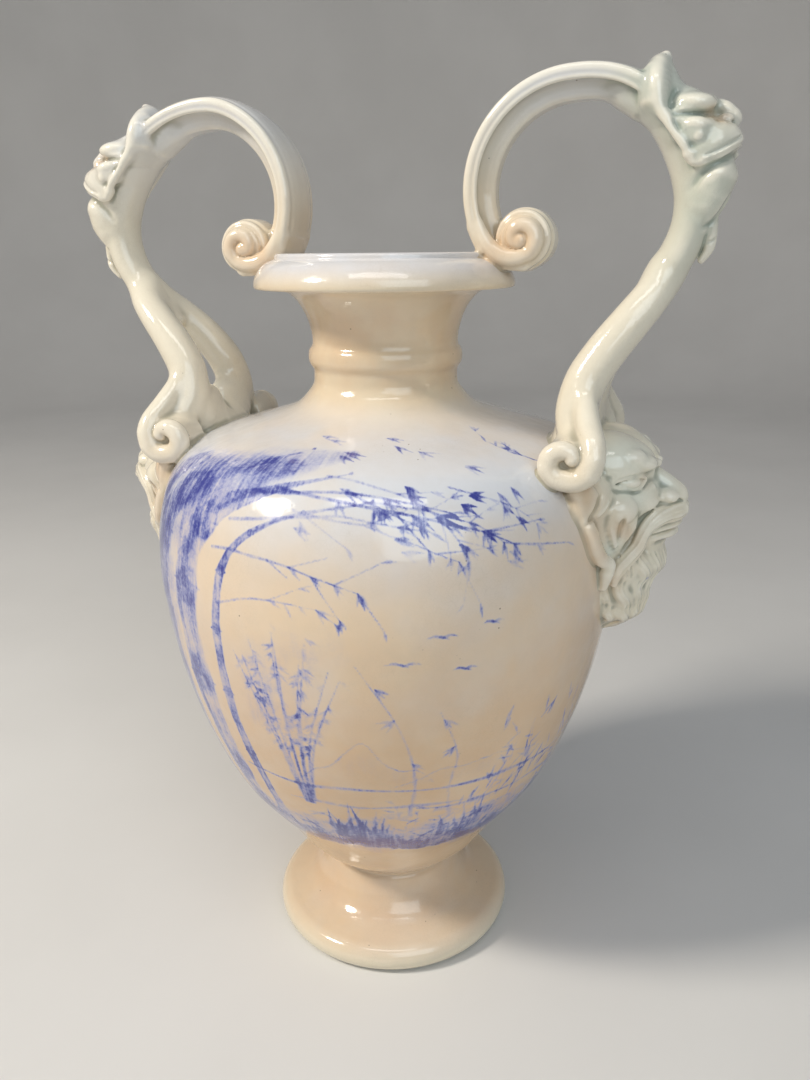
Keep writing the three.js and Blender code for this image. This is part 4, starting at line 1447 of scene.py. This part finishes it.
IVORY = (0.790, 0.640, 0.470, 1)
COOL = (0.700, 0.715, 0.755, 1)
CREAM = (0.790, 0.715, 0.555, 1)
AQUA = (0.800, 0.850, 0.760, 1)
# painted shade: the darker aqua of the upper head, beard and limb
SHADED_AQUA = (0.530, 0.560, 0.480, 1)
# the next two: partly glaze pooled in the relief's hollows, partly painted shade there
POOLED_GLAZE_AND_SHADE = (0.330, 0.320, 0.245, 1)
AQUA_POOL_AND_SHADE = (0.270, 0.335, 0.290, 1)
# partly glaze worn thin on the relief's ridges, partly a painted highlight there
WORN_GLAZE_AND_HIGHLIGHT = (0.900, 0.850, 0.730, 1)
TAN = (0.700, 0.470, 0.280, 1)
MOTTLE = (0.55, 0.50, 0.42, 1)
STAIN = (0.520, 0.380, 0.200, 1)
PINHOLE = (0.16, 0.12, 0.09, 1)
CRAZE = (0.36, 0.28, 0.18, 1)
COBALT_THIN = (0.300, 0.340, 0.620, 1)
COBALT = (0.045, 0.055, 0.290, 1)


class Nodes:
    """Short names for the nodes of one material."""

    def __init__(self, name):
        self.material = bpy.data.materials.new(name)
        self.material.use_nodes = True
        self.tree = self.material.node_tree
        self.shader = self.tree.nodes["Principled BSDF"]
        self.where = self.add("ShaderNodeTexCoord").outputs["Object"]

    def add(self, kind, inputs=None, **settings):
        node = self.tree.nodes.new(kind)
        for name, value in settings.items():
            setattr(node, name, value)
        for key, value in (inputs or {}).items():
            self.put(value, node.inputs[key])
        return node

    def put(self, value, socket):
        if isinstance(value, bpy.types.NodeSocket):
            self.tree.links.new(value, socket)
        else:
            socket.default_value = value

    def give(self, **values):
        """Sets the shader's own sockets; an underscore stands for a space."""
        for name, value in values.items():
            self.put(value, self.shader.inputs[name.replace("_", " ")])

    def maths(self, operation, a, b, clamp=False):
        return self.add("ShaderNodeMath", {0: a, 1: b}, operation=operation, use_clamp=clamp).outputs[0]

    def times(self, a, b, clamp=False):
        return self.maths("MULTIPLY", a, b, clamp)

    def ramp(self, value, low, high, to_low=0.0, to_high=1.0):
        """to_low where value is low, to_high where it is high, with a soft change between."""
        inputs = {"Value": value, "From Min": low, "From Max": high, "To Min": to_low, "To Max": to_high}
        return self.add("ShaderNodeMapRange", inputs, interpolation_type="SMOOTHSTEP").outputs[0]

    def noise(self, scale, detail=3.0, rough=0.5, where=None):
        inputs = {"Vector": where or self.where, "Scale": scale, "Detail": detail, "Roughness": rough}
        return self.add("ShaderNodeTexNoise", inputs).outputs["Fac"]

    def patches(self, noise, *ramp):
        """Soft patches: noise is its scale, detail and roughness, and ramp is as above."""
        return self.ramp(self.noise(*noise), *ramp)

    def cells(self, scale, **settings):
        inputs = {"Vector": self.where, "Scale": scale, "Randomness": 1.0}
        return self.add("ShaderNodeTexVoronoi", inputs, **settings).outputs["Distance"]

    def mix(self, amount, a, b):
        node = self.add("ShaderNodeMix", data_type="RGBA")
        for value, socket in ((amount, 0), (a, 6), (b, 7)):
            self.put(value, node.inputs[socket])
        return node.outputs[2]

    def over(self, below, colour, amount, most):
        """colour laid over below where amount says so, and nowhere more than most."""
        return self.mix(self.times(amount, most), below, colour)

    def attribute(self, name):
        return self.add("ShaderNodeAttribute", attribute_name=name).outputs["Fac"]


def tinted_ground(n, height):
    """Ivory drifting to cool white up the body; cream, aqua and tan where the attributes say so."""
    drift = n.patches((9.0, 4.0, 0.55), 0.36, 0.66, -0.25, 0.35)
    drift = n.maths("ADD", drift, n.ramp(height, 0.22, 0.42), True)
    colour = n.mix(n.attribute("cream"), n.mix(drift, IVORY, COOL), CREAM)
    aqua = n.times(n.attribute("aqua"), 0.85)
    # from about 400 to 460 mm up the aqua darkens: painted shade on the upper head, beard and limb
    colour = n.mix(aqua, colour, n.mix(n.ramp(height, 0.40, 0.46), AQUA, SHADED_AQUA))
    # the glaze pools in hollows and wears thin on ridges; the darkening in the hollows is also painted shade,
    # and the lightening on the ridges a painted highlight
    hollow = n.attribute("hollow")
    colour = n.over(colour, n.mix(aqua, POOLED_GLAZE_AND_SHADE, AQUA_POOL_AND_SHADE), n.ramp(hollow, 0.02, 0.55), 0.80)
    colour = n.over(colour, WORN_GLAZE_AND_HIGHLIGHT, n.ramp(hollow, -0.10, -0.52), 0.70)
    tan = n.times(n.attribute("tan"), n.patches((42.0, 4.0), 0.25, 0.7, 0.6, 1.0))
    return n.mix(n.times(tan, 0.85, True), colour, TAN)


def with_cobalt(n, axes, colour):
    """Cobalt where "paint" says so, granular, streaked round the body, darker where it lies thick."""
    grain = n.patches((520.0, 4.0, 0.7), 0.3, 0.7, 0.80, 1.15)
    turn = n.maths("ARCTAN2", axes["X"], n.times(axes["Y"], -1.0))
    unrolled = n.add("ShaderNodeCombineXYZ", {"X": n.times(turn, 46.0), "Y": n.times(axes["Z"], 34.0)})
    streak = n.patches((1.0, 4.0, 0.62, unrolled.outputs[0]), 0.30, 0.68, 0.74, 1.16)
    blot = n.patches((48.0, 4.0, 0.6), 0.32, 0.68, 0.62, 1.22)
    wash = n.times(n.times(n.attribute("paint"), grain), n.times(streak, blot), True)
    blue = n.mix(n.ramp(wash, 0.30, 1.0), COBALT_THIN, COBALT)
    return n.mix(n.ramp(wash, 0.0, 0.70), colour, blue)


def glossy_skin(n, pits):
    """Gloss under a dull film of dust, on a slightly wavy skin with pits in it."""
    n.give(IOR=1.52, Coat_Weight=0.35, Coat_Roughness=0.04,
           Roughness=n.patches((55.0, 5.0, 0.6), 0.35, 0.8, 0.09, 0.24))
    below = {}
    for strength, distance, height in ((0.22, 0.0012, n.noise(95.0)), (0.16, 0.0002, n.noise(700.0)),
                                       (0.35, 0.0002, n.maths("SUBTRACT", 0.0, pits))):
        bump = n.add("ShaderNodeBump", {"Strength": strength, "Distance": distance, "Height": height} | below)
        below = {"Normal": bump.outputs[0]}
    n.give(**below)


def glaze():
    """Ivory lead glaze over pale earthenware, with cobalt under it."""
    n = Nodes("glazed_earthenware")
    axes = n.add("ShaderNodeSeparateXYZ", {"Vector": n.where}).outputs
    colour = tinted_ground(n, axes["Z"])
    colour = n.over(colour, MOTTLE, n.patches((130.0, 6.0, 0.65), 0.35, 0.75), 0.10)
    colour = n.over(colour, STAIN, n.patches((17.0, 5.0, 0.7), 0.66, 0.78), 0.30)
    colour = with_cobalt(n, axes, colour)
    pits = n.times(n.ramp(n.cells(150.0), 0.09, 0.04), n.patches((31.0, 2.0), 0.60, 0.66))
    colour = n.over(colour, PINHOLE, pits, 0.8)
    edges = n.cells(430.0, feature="DISTANCE_TO_EDGE")
    crack = n.times(n.ramp(edges, 0.06, 0.0), n.patches((22.0, 2.0), 0.40, 0.65))
    n.give(Base_Color=n.over(colour, CRAZE, crack, 0.09))
    glossy_skin(n, pits)
    return n.material


# ------------------------------------------------------------------ stage

FLOOR_PALE = (0.74, 0.73, 0.715, 1)
FLOOR_DARK = (0.70, 0.69, 0.675, 1)
FLOOR_SEGMENTS = 96
# each light's place and size in metres, its watts and its colour
LIGHTS = {
    "key": ((-1.24, -1.00, 1.66), (0.34, 0.34), 34, (1.0, 0.93, 0.82)),
    "top": ((0.15, -0.75, 1.85), (1.1, 0.3), 4, (1.0, 0.98, 0.95)),
    "fill": ((1.00, -1.35, 1.25), (1.3, 1.3), 11, (0.80, 0.92, 1.0)),
}
LIT_POINT = Vector((0, 0, 0.28))  # about the middle of the vase
ROOM_COLOUR = (0.80, 0.84, 0.92, 1)
ROOM_STRENGTH = 0.25


def make_floor():
    """A round pale floor that sweeps up into a wall."""
    bend = arc(2400, 900, 900, -90, 0, 14)
    profile = np.vstack([[(400, 0), (1200, 0)], bend, [(3300, 3200)]])
    vertices, quads = turned_mesh(profile, FLOOR_SEGMENTS)
    n = Nodes("pale_floor")
    n.give(Base_Color=n.mix(n.patches((3.0, 5.0), 0.3, 0.7), FLOOR_DARK, FLOOR_PALE), Roughness=0.85)
    new_object("floor", vertices, quads[:, ::-1], n.material, np.arange(FLOOR_SEGMENTS))


def make_lights():
    """Three soft lights and a dim bluish room."""
    for name, (place, size, power, colour) in LIGHTS.items():
        light = bpy.data.lights.new(name, "AREA")
        light.shape = "RECTANGLE"
        light.size, light.size_y = size
        light.energy = power
        light.color = colour
        lamp = bpy.data.objects.new(name, light)
        lamp.location = place
        lamp.rotation_euler = (LIT_POINT - Vector(place)).to_track_quat("-Z", "Y").to_euler()
        bpy.context.scene.collection.objects.link(lamp)
    world = bpy.data.worlds.new("room")
    bpy.context.scene.world = world
    world.use_nodes = True
    background = world.node_tree.nodes["Background"]
    background.inputs["Color"].default_value = ROOM_COLOUR
    background.inputs["Strength"].default_value = ROOM_STRENGTH
    bpy.context.scene.view_settings.view_transform = "Standard"


# ------------------------------------------------------------------ everything

make_camera()
make_floor()
make_lights()
GLAZE = glaze()
make_body(GLAZE)
make_handles(GLAZE)

bpy.context.view_layer.update()
